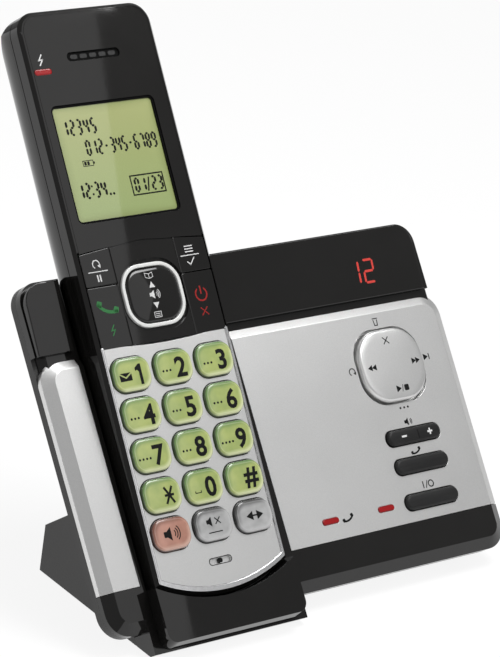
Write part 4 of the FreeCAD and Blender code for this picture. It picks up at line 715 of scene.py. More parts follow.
class Slot(Enum):
    """Material slots of the record, each with its finish."""

    GLOSS_BLACK = ("gloss_black", MouldedPlastic(
        "Gloss black plastic", (0.008, 0.0076, 0.0072), (0.011, 0.0105, 0.010), (0.02, 0.045), (420.0, 0.01)))
    SHELL_BLACK = ("shell_black", MouldedPlastic(
        "Textured black plastic", (0.013, 0.0125, 0.012), (0.024, 0.023, 0.022), (0.34, 0.46), (2600.0, 0.5)))
    SILVER = ("silver_satin", MetallicPaint(
        "Satin silver paint", (0.80, 0.80, 0.795), (0.72, 0.72, 0.715), 0.88, (0.37, 0.43), (9000.0, 0.05)))
    RIM = ("bright_rim", MetallicPaint(
        "Metallised rim", (0.86, 0.86, 0.87), (0.78, 0.78, 0.79), 0.95, (0.14, 0.24), (900.0, 0.05)))
    RING = ("white_ring", MouldedPlastic(
        "White ring plastic", (0.83, 0.84, 0.83), (0.77, 0.77, 0.75), (0.2, 0.32), (900.0, 0.08), 0.4))
    SOFT_KEY = ("soft_key_black", MouldedPlastic(
        "Black key plastic", (0.007, 0.0067, 0.0064), (0.010, 0.0096, 0.0092), (0.02, 0.05), (500.0, 0.01)))
    # In each key plastic the second colour is painted shade, the third a painted highlight, and the fourth a
    # painted shade line at the foot.
    LIME = ("key_lime", TintedKeyPlastic(
        "Lime key plastic", (0.46, 0.53, 0.17), (0.17, 0.29, 0.10), (0.80, 0.84, 0.52), (0.06, 0.09, 0.04)))
    SALMON = ("key_salmon", TintedKeyPlastic(
        "Salmon key plastic", (0.58, 0.29, 0.215), (0.24, 0.10, 0.07), (0.74, 0.50, 0.41),
        (0.07, 0.035, 0.03)))
    GREY = ("key_grey", TintedKeyPlastic(
        "Clear grey key plastic", (0.52, 0.52, 0.52), (0.09, 0.09, 0.09), (0.62, 0.62, 0.62),
        (0.03, 0.03, 0.03)))
    RUBBER = ("key_rubber", MouldedPlastic(
        "Black key rubber", (0.012, 0.012, 0.0125), (0.022, 0.022, 0.022), (0.38, 0.5), (1800.0, 0.25),
        0.0, 0.25))
    FOOT = ("foot_rubber", MouldedPlastic(
        "Foot rubber", (0.02, 0.02, 0.02), (0.05, 0.048, 0.045), (0.6, 0.8), (1500.0, 0.6)))
    MAT = ("mat_rubber", MouldedPlastic(
        "Key mat rubber", (0.30, 0.31, 0.31), (0.24, 0.24, 0.24), (0.5, 0.65), (1600.0, 0.3)))
    BOARD = ("board", CircuitLaminate("Circuit laminate"))
    # the third colour is painted shade at the display's border
    LCD = ("lcd_green", DisplayGlass(
        "Liquid crystal face", (0.385, 0.415, 0.155), (0.315, 0.40, 0.145), (0.25, 0.30, 0.09),
        (0.106, 0.133)))
    MODULE = ("display_module", MouldedPlastic(
        "Module plastic", (0.035, 0.035, 0.037), (0.06, 0.06, 0.06), (0.35, 0.5), (1400.0, 0.2)))
    RED = ("red_lens", GlowingLens("Red light lens", (0.25, 0.006, 0.008), (0.36, 0.010, 0.012), 0.06))
    METAL = ("bright_metal", BareMetal(
        "Nickelled metal", (0.66, 0.65, 0.62), (0.42, 0.41, 0.39), (0.2, 0.42)))
    SPEAKER = ("speaker_metal", BareMetal(
        "Zinc plated steel", (0.48, 0.48, 0.47), (0.30, 0.30, 0.29), (0.3, 0.5)))
    SLEEVE = ("cell_sleeve", MouldedPlastic(
        "Cell sleeve", (0.05, 0.14, 0.30), (0.08, 0.18, 0.34), (0.2, 0.3), (700.0, 0.1), 0.5))

    def __init__(self, slot: str, finish: Finish) -> None:
        """Keeps the record's name and the finish."""
        self.slot, self.finish = slot, finish

    @property
    def material(self) -> bpy.types.Material:
        """The finish's material."""
        return self.finish.material


class Ink(Enum):
    """Inks and lit segments of the signs and figures."""

    WHITE = PrintedInk("White ink", (0.80, 0.80, 0.80))
    BLACK = PrintedInk("Black ink", (0.008, 0.008, 0.008))
    GREEN = PrintedInk("Green ink", (0.045, 0.21, 0.068))
    RED = PrintedInk("Red ink", (0.36, 0.022, 0.02))
    SEGMENT = PrintedInk("Liquid crystal segment", (0.006, 0.007, 0.004), 0.3)
    GLOW = GlowingLens("Lit red segment", (0.46, 0.04, 0.032), (0.52, 0.05, 0.04), 0.28)

    @property
    def material(self) -> bpy.types.Material:
        """The ink's material."""
        return self.value.material


# Near black with almost no reflection: the black cloth and border, darkened further as painted shade of their
# recesses.
BLACK_WITH_RECESS_SHADE = MouldedPlastic("Matt black recess shade", (0.003, 0.003, 0.003), (0.006, 0.006, 0.006), (0.6, 0.8),
                            (3200.0, 0.5), 0.0, 0.05)


# ---------------------------------------------------------------- pieces


SHARP_ANGLE = math.radians(38)  # above this, an edge of a new piece is shaded sharp
FLAT_ANGLE = math.radians(0.4)  # below this, triangles lie in one plane
WELD_GAP = 2e-6  # metres


def hang(name: str, data: object) -> bpy.types.Object:
    """Puts new data in the scene as an object."""
    thing = bpy.data.objects.new(name, data)
    bpy.context.scene.collection.objects.link(thing)
    return thing


def mesh_of(name: str, surface: Surface, face: Face | None = None) -> bpy.types.Mesh:
    """Makes a surface a mesh.

    Args:
        name: The mesh's name.
        surface: The surface.
        face: The face that carries it into the shared frame; without one it stays as it is drawn.

    Returns:
        The mesh.
    """
    mesh = bpy.data.meshes.new(name)
    mesh.from_pydata(face.world(surface.points) if face else surface.points, [], surface.faces)
    return mesh


def applied(thing: bpy.types.Object) -> bpy.types.Mesh:
    """A mesh of an object with its modifiers applied."""
    bpy.context.view_layer.update()
    return bpy.data.meshes.new_from_object(thing.evaluated_get(bpy.context.evaluated_depsgraph_get()))


def points_of(mesh: bpy.types.Mesh) -> Array:
    """A mesh's points as rows."""
    points = np.empty(len(mesh.vertices) * 3)
    mesh.vertices.foreach_get("co", points)
    return points.reshape(-1, 3)


def piece(name: str, face: Face, surface: Surface, finish: Slot | Finish, body: str,
          *stands_for: str) -> bpy.types.Object:
    """Makes a surface into a piece that rides on a body.

    Args:
        name: The piece's name.
        face: The face that the surface is drawn in.
        surface: The surface.
        finish: Its slot of the record, or a finish outside the record.
        body: The body that it moves with.
        *stands_for: Frame nodes that it takes the place of.

    Returns:
        The piece.
    """
    mesh = mesh_of(name, surface, face)
    for label, values in surface.marks.items():
        mesh.attributes.new(label, "FLOAT", "POINT").data.foreach_set("value", values.astype(np.float32))
    mesh.shade_smooth()
    mesh.set_sharp_from_angle(angle=SHARP_ANGLE)
    return place(name, mesh, finish, body, *stands_for)


def place(name: str, mesh: bpy.types.Mesh, finish: Slot | Ink | Finish, body: str,
          *stands_for: str) -> bpy.types.Object:
    """Puts a mesh in the scene with its finish and its body.

    Args:
        name: The piece's name.
        mesh: The mesh, which holds its place.
        finish: Its slot of the record, its ink, or a finish outside the record.
        body: The body that it moves with.
        *stands_for: Frame nodes that it takes the place of.

    Returns:
        The piece.
    """
    thing = hang(name, mesh)
    mesh.materials.clear()
    mesh.materials.append(finish.material)
    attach(thing, body)
    if stands_for:
        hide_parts(*stands_for)
    LOG.info("%s: %d faces on %s", thing.name, len(mesh.polygons), body)
    return thing


def merge_flats(thing: bpy.types.Object) -> None:
    """Joins an object's triangles where they meet and lie in one plane."""
    thing.modifiers.new("Weld", "WELD").merge_threshold = WELD_GAP
    flats = thing.modifiers.new("Flats", "DECIMATE")
    flats.decimate_type, flats.angle_limit = "DISSOLVE", FLAT_ANGLE


def soften(thing: bpy.types.Object, width: float, parts: int = 2, angle: float = 28) -> None:
    """Rounds an object's edges and evens its shading.

    Args:
        thing: The object.
        width: The rounding in millimetres, or nothing to leave the edges as they are.
        parts: The number of parts in each rounding.
        angle: The least angle, in degrees, of an edge that is rounded.
    """
    if width:
        edges = thing.modifiers.new("Edges", "BEVEL")
        edges.width, edges.segments, edges.harden_normals = width * MM, parts, True
        edges.limit_method, edges.angle_limit = "ANGLE", math.radians(angle)
    thing.modifiers.new("Normals", "WEIGHTED_NORMAL").keep_sharp = True


def dress(table: dict[Slot, dict[str, float]]) -> None:
    """Gives frame nodes their finishes, and rounds their edges without touching their meshes.

    Args:
        table: By slot, the nodes with the rounding of each one's edges in millimetres.
    """
    for slot, nodes in table.items():
        for node, edge in nodes.items():
            thing = frame["nodes"][node]
            thing.data.materials.clear()
            thing.data.materials.append(slot.material)
            merge_flats(thing)
            soften(thing, edge)
            LOG.info("%s: %s", node, slot.material.name)


def carved(node: str, face: Face, cutters: list[Surface]) -> bpy.types.Mesh:
    """Cuts shapes out of a copy of a frame node.

    Args:
        node: The frame node, which stays as it is.
        face: The face that the cutters are drawn in.
        cutters: Closed surfaces to take away.

    Returns:
        The carved copy's mesh.
    """
    blank = hang(node + "_blank", frame["nodes"][node].data.copy())
    merge_flats(blank)
    tools = [hang("cutter", mesh_of("cutter", cutter, face)) for cutter in cutters]
    for tool in tools:
        cut = blank.modifiers.new("Cut", "BOOLEAN")
        cut.operation, cut.object, cut.solver = "DIFFERENCE", tool, "EXACT"
    merge_flats(blank)
    mesh = applied(blank)
    for helper in (blank, *tools):
        bpy.data.objects.remove(helper)
    return mesh


@dataclass(frozen=True)
class Crown:
    """The top of a key: a quarter-round shoulder under a shallow dome.

    Args:
        rise: The dome's height over the face.
        swell: The dome's own height over the shoulder.
        reach: The shoulder's reach inwards.
        foot: The height at which the shoulder starts.
        rings: The number of rings in the dome.
        band: The distance over which the edge mark fades.
    """

    rise: float
    swell: float
    reach: float
    foot: float
    rings: int = 5
    band: float = 2.2

    def over(self, loop: Array, middle: tuple[float, float], size: tuple[float, float],
             walls: list[tuple[float, float]]) -> tuple[Surface, Dome]:
        """Closes a key's walls with the crown.

        Args:
            loop: The key's outline.
            middle: Its middle.
            size: Its width and height.
            walls: The profile below the shoulder.

        Returns:
            The closed key, and its dome for the signs on it.
        """
        top = self.rise - self.swell
        dome = Dome(*middle, size[0] / 2 - self.reach, size[1] / 2 - self.reach, top, self.swell)
        profile = walls + shoulder(self.reach, self.foot, top - self.foot, 6)
        return moulding(loop, profile, dome, self.rings, self.band), dome


FLANGE_THICKNESS = 0.9
LIGHT_HEIGHT, LIGHT_CORNER = 1.8, 0.8


def skirt(reach: float, top: float, wall: float) -> list[tuple[float, float]]:
    """A key's hidden flange, and the wall that stands on it up to a height."""
    return [(-reach, top - FLANGE_THICKNESS), (-reach, top), (0.0, top), (0.0, wall)]


def light_lens(x: float, u: float, width: float, depth: float, ease: tuple[float, float]) -> Surface:
    """A long lens with rounded ends and an eased top, given by its middle, width, depth and easing."""
    loop = box_outline(x, u, width, LIGHT_HEIGHT, LIGHT_CORNER, turns=5)
    return moulding(loop, [(0.0, -depth), (0.0, 0.0)] + shoulder(ease[0], 0.0, ease[1], 3), band=0.9)


# ---------------------------------------------------------------- signs and figures


LINE_WIDTH = 0.32
FONT_SIZE, CAPITAL = 10.0, 7.0  # the type's size, and the height of a figure at that size
CUT_SPACING, MERGE_GAP = 0.9, 1e-4  # millimetres


@dataclass(frozen=True)
class Figure:
    """A printed figure.

    Args:
        text: The figure.
        x: Its middle across the face.
        u: Its middle up the face.
        height: Its height.
        weight: How much its strokes are thickened, in millimetres.
    """

    text: str
    x: float
    u: float
    height: float
    weight: float

    def mesh(self, thick: float) -> bpy.types.Mesh:
        """Sets the figure in type, and scales and centres it on its place.

        Args:
            thick: The ink's thickness.

        Returns:
            A flat closed mesh in the face's millimetres.
        """
        curve = bpy.data.curves.new("figure", "FONT")
        curve.body, curve.size, curve.resolution_u, curve.extrude = self.text, FONT_SIZE, 3, 0.5
        curve.offset = self.weight * CAPITAL / self.height
        holder = hang("figure", curve)
        mesh = applied(holder)
        bpy.data.objects.remove(holder)
        bpy.data.curves.remove(curve)
        points = points_of(mesh)
        low, high = points[:, :2].min(0), points[:, :2].max(0)
        flat = (points[:, :2] - (low + high) / 2) * self.height / (high[1] - low[1])
        points = np.column_stack([flat + [self.x, self.u], np.sign(points[:, 2]) * thick / 2])
        mesh.vertices.foreach_set("co", points.ravel())
        return mesh


@dataclass(frozen=True)
class Mark:
    """A flat printed shape given by its outline."""

    loop: Array

    def mesh(self, thick: float) -> bpy.types.Mesh:
        """The shape as a flat closed mesh in the face's millimetres."""
        return mesh_of("mark", moulding(self.loop, [(0.0, -thick / 2), (0.0, thick / 2)]))


def print_on(name: str, face: Face, prints: list[Figure | Mark], ink: Ink, body: str,
             ground: Dome | Slope | float = 0.0, lift: float = 0.02, thick: float = 0.03) -> bpy.types.Object:
    """Prints figures and marks on a face or on the crown of a key.

    On a crown the print is first cut into a grid, so that it bends with the crown.

    Args:
        name: The piece's name.
        face: The face that it is drawn in.
        prints: The figures and marks.
        ink: Their ink.
        body: The body that they ride on.
        ground: The crown or slope that they lie on, or the height of a flat.
        lift: How far the ink's middle stands off the surface.
        thick: The ink's thickness.

    Returns:
        The piece.
    """
    sheet = bmesh.new()
    for item in prints:
        part = item.mesh(thick)
        sheet.from_mesh(part)
        bpy.data.meshes.remove(part)
    bmesh.ops.remove_doubles(sheet, verts=sheet.verts, dist=MERGE_GAP)
    if isinstance(ground, Dome):
        for axis, half in ((0, ground.half_width), (1, ground.half_height)):
            for cut in np.arange(-half, half, CUT_SPACING):
                middle = [ground.x, ground.u, 0.0]
                middle[axis] += cut
                bmesh.ops.bisect_plane(sheet, geom=[*sheet.verts, *sheet.edges, *sheet.faces],
                                       plane_co=middle, plane_no=(1 - axis, axis, 0))
    mesh = bpy.data.meshes.new(name)
    sheet.to_mesh(mesh)
    sheet.free()
    points = points_of(mesh)
    points[:, 2] += lift + (ground if isinstance(ground, float) else ground.height(points[:, :2]))
    mesh.vertices.foreach_set("co", face.world(points).ravel())
    mesh.update()
    return place(name, mesh, ink, body)


def polygon(*corners: tuple[float, float]) -> Mark:
    """A mark with straight sides through counter-clockwise corners."""
    return Mark(np.array(corners, float))


def bar(x: float, u: float, width: float, height: float) -> Mark:
    """A plain bar given by its middle."""
    return Mark(box_outline(x, u, width, height, min(width, height) * 0.2, turns=2, step=10.0))


def arrow(x: float, u: float, size: float, way: tuple[float, float]) -> Mark:
    """A solid triangle that points along a unit direction."""
    ahead, across = np.array(way) * size * 0.5, np.array([way[1], -way[0]]) * size * 0.58
    return Mark(np.array([ahead, -ahead - across, -ahead + across]) + [x, u])


def stroke(points: list[tuple[float, float]] | Array, width: float = LINE_WIDTH,
           overrun: float = 1.0) -> list[Mark]:
    """Draws a run of straight bars through points.

    Args:
        points: The points.
        width: The line's width.
        overrun: How far each bar runs past its points, in half widths.

    Returns:
        One mark for each bar.
    """
    marks = []
    for first, last in zip(np.array(points[:-1], float), np.array(points[1:], float)):
        way = (last - first) / np.linalg.norm(last - first) * width / 2
        side, past = np.array([way[1], -way[0]]), way * overrun
        marks.append(Mark(np.array([first - past + side, last + past + side, last + past - side,
                                    first - past - side])))
    return marks


def arc(x: float, u: float, radius: float, first: float, last: float, width: float = LINE_WIDTH,
        samples: int = 15) -> Mark:
    """Draws a band along an arc.

    Args:
        x: The arc's middle across.
        u: Its middle up.
        radius: Its radius.
        first: The bearing of its start, in degrees.
        last: The bearing of its end.
        width: The band's width.
        samples: The number of points along it.

    Returns:
        The band.
    """
    angle = np.radians(np.linspace(first, last, samples))
    rim = np.stack([np.cos(angle), np.sin(angle)], 1)
    return Mark(np.vstack([rim * (radius + width / 2), rim[::-1] * (radius - width / 2)]) + [x, u])


class Signs:
    """Plain signs of the kind that any telephone has, each given by its middle and its size."""

    @staticmethod
    def cross(x: float, u: float, size: float) -> list[Mark]:
        """A diagonal cross."""
        a = size / 2
        return stroke([(x - a, u - a), (x + a, u + a)]) + stroke([(x - a, u + a), (x + a, u - a)])

    @staticmethod
    def again(x: float, u: float, size: float) -> list[Mark]:
        """An arrow that goes round."""
        radius = size / 2
        return [arc(x, u, radius, -30, 240),
                arrow(x + radius * 0.92, u - radius * 0.62, size * 0.45, (0.3, -0.95))]

    @staticmethod
    def bars(x: float, u: float, size: float) -> list[Mark]:
        """Three level lines."""
        return [bar(x, u + step * size * 0.38, size * 1.4, LINE_WIDTH) for step in (-1, 0, 1)]

    @staticmethod
    def tick(x: float, u: float, size: float) -> list[Mark]:
        """A tick."""
        a = size / 2
        return stroke([(x - a, u), (x - 0.3 * a, u - 0.7 * a), (x + 1.1 * a, u + 0.9 * a)])

    @staticmethod
    def pause(x: float, u: float, size: float) -> list[Mark]:
        """Two upright bars."""
        return [bar(x + side * size * 0.22, u, size * 0.22, size) for side in (-1, 1)]

    @staticmethod
    def spark(x: float, u: float, size: float, width: float = LINE_WIDTH) -> list[Mark]:
        """A zigzag flash."""
        a = size / 2
        return stroke([(x + 0.35 * a, u + a), (x - 0.45 * a, u - 0.05 * a), (x + 0.45 * a, u + 0.05 * a),
                       (x - 0.35 * a, u - a)], width)

    @staticmethod
    def power(x: float, u: float, size: float) -> list[Mark]:
        """An open ring with an upright bar."""
        return [arc(x, u, size / 2, 125, 415, 0.5), bar(x, u + size * 0.32, 0.5, size * 0.62)]

    @staticmethod
    def card(x: float, u: float, size: float) -> list[Mark]:
        """A card with two lines on it."""
        a, b, width = size * 0.75, size / 2, 0.18
        rim = [(x - a, u - b), (x + a, u - b), (x + a, u + b), (x - a, u + b), (x - a, u - b)]
        return stroke(rim, width) + [bar(x, u + size * at, size, width) for at in (0.15, -0.2)]

    @staticmethod
    def book(x: float, u: float) -> list[Mark]:
        """A small open book, one page on each side."""
        marks = []
        for side in (-1, 1):
            page = [(x, u - 0.95), (x + side * 1.35, u - 0.55), (x + side * 1.35, u + 0.85), (x, u + 0.4)]
            marks += stroke(page + page[:1], 0.18, 0.0)
        return marks

    @staticmethod
    def bin(x: float, u: float, size: float) -> list[Mark]:
        """A bin with its lid."""
        a, b, width = size * 0.32, size / 2, 0.3
        side = [(x - a, u + b * 0.5), (x - a * 0.75, u - b), (x + a * 0.75, u - b), (x + a, u + b * 0.5)]
        return stroke(side, width) + [bar(x, u + b, size * 0.95, width)]

    @staticmethod
    def speaker(x: float, u: float, size: float, waves: int = 3, width: float = LINE_WIDTH) -> list[Mark]:
        """A loudspeaker with sound arcs."""
        k = size / 5.0
        horn = [bar(x - 2.5 * k, u, 1.1 * k, 1.7 * k),
                polygon((x - 2.1 * k, u - 0.75 * k), (x - 0.5 * k, u - 2.0 * k), (x - 0.5 * k, u + 2.0 * k),
                        (x - 2.1 * k, u + 0.75 * k))]
        return horn + [arc(x - 0.1 * k, u, (1.1 + 0.8 * wave) * k, -48, 48, width) for wave in range(waves)]

    @staticmethod
    def both_ways(x: float, u: float, size: float) -> list[Mark]:
        """An arrow with a head at either end."""
        heads = [arrow(x + side * size * 0.34, u, size * 0.42, (side, 0)) for side in (-1, 1)]
        return [bar(x, u, size * 0.7, 0.45), *heads]

    @staticmethod
    def dots(x: float, u: float, count: int, pitch: float = 1.25, size: float = 0.7) -> list[Mark]:
        """A row of dots."""
        first = x - pitch * (count - 1) / 2
        return [Mark(box_outline(first + pitch * i, u, size, size, size * 0.48, turns=3))
                for i in range(count)]

    @staticmethod
    def envelope(x: float, u: float) -> list[Mark]:
        """A solid envelope with a light fold."""
        wide, high, fold = 2.1, 1.2, 0.26
        side = u + high - 1.5 * fold
        return [polygon((x - wide, u - high), (x + wide, u - high), (x + wide, side), (x, u - 0.25 - fold),
                        (x - wide, side)),
                polygon((x - wide + fold, u + high), (x, u), (x + wide - fold, u + high))]

    @staticmethod
    def space(x: float, u: float) -> list[Mark]:
        """A flat bracket, open at the top."""
        return [bar(x, u, 2.2, 0.26), bar(x - 1.0, u + 0.3, 0.26, 0.6), bar(x + 1.0, u + 0.3, 0.26, 0.6)]

    @staticmethod
    def one(x: float, u: float) -> list[Mark]:
        """The figure 1 with its flag, as one outline."""
        corners = [(0.1, -3.05), (1.1, -3.05), (1.1, 3.05), (0.4, 3.05), (-1.1, 2.0), (-1.1, 1.05),
                   (0.1, 1.6)]
        return [Mark(np.array(corners) + [x, u])]

    @staticmethod
    def star(x: float, u: float) -> list[Mark]:
        """A six-pointed star, drawn as one outline whose arms meet at a small hexagon."""
        half, loop = 0.36, []
        for degrees, reach in ((60, 2.85), (120, 2.85), (180, 1.65), (240, 2.85), (300, 2.85), (360, 1.65)):
            bearing, notch = math.radians(degrees), math.radians(degrees - 30)
            way = np.array([math.cos(bearing), math.sin(bearing)])
            side = np.array([way[1], -way[0]]) * half
            loop += [np.array([math.cos(notch), math.sin(notch)]) * half * 2, way * reach + side,
                     way * reach - side]
        return [Mark(np.array(loop) + [x, u])]

    @staticmethod
    def battery(x: float, u: float) -> list[Mark]:
        """A small battery drawn in lines with two filled cells."""
        return [bar(x + across, u + up, width, height) for across, up, width, height in (
            (0.0, 0.8, 3.6, 0.2), (0.0, -0.8, 3.6, 0.2), (-1.8, 0.0, 0.2, 1.7), (1.8, 0.0, 0.2, 1.7),
            (2.1, 0.0, 0.5, 0.7), (-1.0, 0.0, 0.8, 1.1), (0.1, 0.0, 0.8, 1.1))]

    @staticmethod
    def receiver(x: float, u: float, length: float, turn: float) -> list[Mark]:
        """A telephone receiver: the band between two arcs, with a rounded block at each end.

        Args:
            x: Its middle across.
            u: Its middle up.
            length: Its length.
            turn: Its turn in degrees, clockwise.

        Returns:
            Its grip and its two ends.
        """
        bend = math.radians(turn)
        spin = np.array([[math.cos(bend), math.sin(bend)], [-math.sin(bend), math.cos(bend)]])
        radius = length * 0.85
        grip = arc(0.0, 0.0, radius, 234, 306, length * 0.14, 11)
        ends = [box_outline(side * length * 0.42, -radius * 0.78, length * 0.24, length * 0.26, length * 0.06,
                            turns=3) for side in (-1, 1)]
        return [Mark((loop + [0, radius * 0.9]) @ spin + [x, u]) for loop in (grip.loop, *ends)]


SEGMENTS = {"0": "abcdef", "1": "bc", "2": "abged", "3": "abgcd", "4": "fgbc", "5": "afgcd", "6": "afgedc",
            "7": "abc", "8": "abcdefg", "9": "abfgcd", "-": "g"}


def segments(text: str, x: float, u: float, width: float, height: float, pitch: float,
             thick: float, slant: float = 0.0) -> list[Mark]:
    """Draws seven-segment figures.

    Segment ends are pointed, so each is a six-sided bar whose two long sides are its thickness apart. A
    slant moves every point across by its share of the height.

    Args:
        text: The figures.
        x: The middle of the first figure.
        u: The middle of the figures.
        width: A figure's width.
        height: A figure's height.
        pitch: The spacing of the figures.
        thick: A segment's thickness.
        slant: The lean, as a share of the height.

    Returns:
        One mark for each segment.
    """
    s = thick / 2
    a, b = width / 2 - s, height / 2 - s
    ends = {"a": ((-a, b), (a, b)), "g": ((-a, 0), (a, 0)), "d": ((-a, -b), (a, -b)),
            "f": ((-a, 0), (-a, b)), "b": ((a, 0), (a, b)), "e": ((-a, -b), (-a, 0)), "c": ((a, -b), (a, 0))}
    marks = []
    for number, figure in enumerate(text):
        for segment in SEGMENTS[figure]:
            first, last = (np.array(p, float) for p in ends[segment])
            way = (last - first) / np.linalg.norm(last - first) * s
            side = np.array([way[1], -way[0]])
            first, last = first + way * 0.25, last - way * 0.25
            loop = np.array([first, first + way + side, last - way + side, last, last - way - side,
                             first + way - side])
            loop[:, 0] += loop[:, 1] * slant
            marks.append(Mark(loop + [x + number * pitch, u]))
    return marks


# ---------------------------------------------------------------- handset


@dataclass
class HandsetKeys:
    """The fifteen domed keys of the handset, with their figures and signs.

    Args:
        pitch: Spacing across and down.
        size: Width and height of a digit key.
        function_size: Width and height of a key of the lowest row.
        function_u: The middle of the lowest row.
        corner: Corner radius.
        bulge: How far the sides bow out.
        crown: The keys' crown.
        flange: Reach of the hidden flange.
        flange_top: Depth of the flange's top.
        figure: How far right of the key's middle, and above it, the figure stands.
        figure_size: The figure's height and the thickening of its strokes.
        mark: How far right of the key's middle, and above it, its row of dots stands.
        labels: Each digit key's label and number of dots, row by row.
    """

    pitch: tuple[float, float] = (15.05, 12.0)
    size: tuple[float, float] = (13.5, 10.2)
    function_size: tuple[float, float] = (13.5, 9.6)
    function_u: float = -47.4
    corner: float = 3.5
    bulge: float = 0.22
    crown: Crown = Crown(1.3, 0.12, 0.95, 0.35)
    flange: float = 0.6
    flange_top: float = -1.7
    figure: tuple[float, float] = (2.15, -0.35)
    figure_size: tuple[float, float] = (6.1, 0.24)
    mark: tuple[float, float] = (-3.0, -0.9)
    labels: tuple[tuple[str, int], ...] = (
        ("1", 0), ("2", 3), ("3", 3), ("4", 3), ("5", 3), ("6", 3), ("7", 4), ("8", 3), ("9", 4), ("star", 0),
        ("0", 0), ("hash", 0))

    def key(self, name: str, x: float, u: float, size: tuple[float, float], slot: Slot) -> Dome:
        """Builds one key.

        Args:
            name: The key's node.
            x: Its middle across.
            u: Its middle up.
            size: Its width and height.
            slot: Its slot.

        Returns:
            The crown, for the signs on it.
        """
        loop = box_outline(x, u, *size, self.corner, self.bulge, 0.9, 8)
        surface, dome = self.crown.over(loop, (x, u), size, skirt(self.flange, self.flange_top, -0.4))
        piece(name + "_cap", HANDSET, surface, slot, name, name)
        return dome

    def build(self) -> None:
        """Builds every key and prints on it."""
        for number, (label, dots) in enumerate(self.labels):
            row, column = divmod(number, 3)
            x, u = (column - 1) * self.pitch[0], -row * self.pitch[1]
            name = "key_" + label
            dome = self.key(name, x, u, self.size, Slot.LIME)
            print_on(name + "_legend", HANDSET, self.prints(label, dots, x, u), Ink.BLACK, name, dome)
        self.function_row()

    def prints(self, label: str, dots: int, x: float, u: float) -> list[Figure | Mark]:
        """What a digit key shows: its figure or star, and its row of dots or its sign.

        Args:
            label: The key's label.
            dots: Its number of dots.
            x: The key's middle across.
            u: The key's middle up.

        Returns:
            The figures and marks.
        """
        right, left = (x + self.figure[0], u + self.figure[1]), (x + self.mark[0], u + self.mark[1])
        if label == "1":
            return Signs.one(*right) + Signs.envelope(left[0] + 0.4, left[1] + 0.3)
        if label == "star":
            return Signs.star(*right)
        text = "#" if label == "hash" else label
        space = Signs.space(left[0] + 0.4, u - 1.6) if label == "0" else []
        return [Figure(text, *right, *self.figure_size), *Signs.dots(*left, dots), *space]

    def function_row(self) -> None:
        """Builds the speaker, mute and intercom keys."""
        across, u = self.pitch[0], self.function_u
        for name, x, slot, signs in (
                ("speaker_key", -across, Slot.SALMON, Signs.speaker(-across, u, 5.0)),
                ("mute_key", 0.0, Slot.GREY, [*Signs.speaker(-0.4, u + 0.9, 3.6, 0),
                                              *Signs.cross(1.5, u + 0.9, 1.7), bar(0.0, u - 2.3, 5.0, 0.3)]),
                ("intercom_key", across, Slot.GREY, Signs.both_ways(across, u, 5.6))):
            dome = self.key(name, x, u, self.function_size, slot)
            print_on(name + "_legend", HANDSET, signs, Ink.BLACK, name, dome)


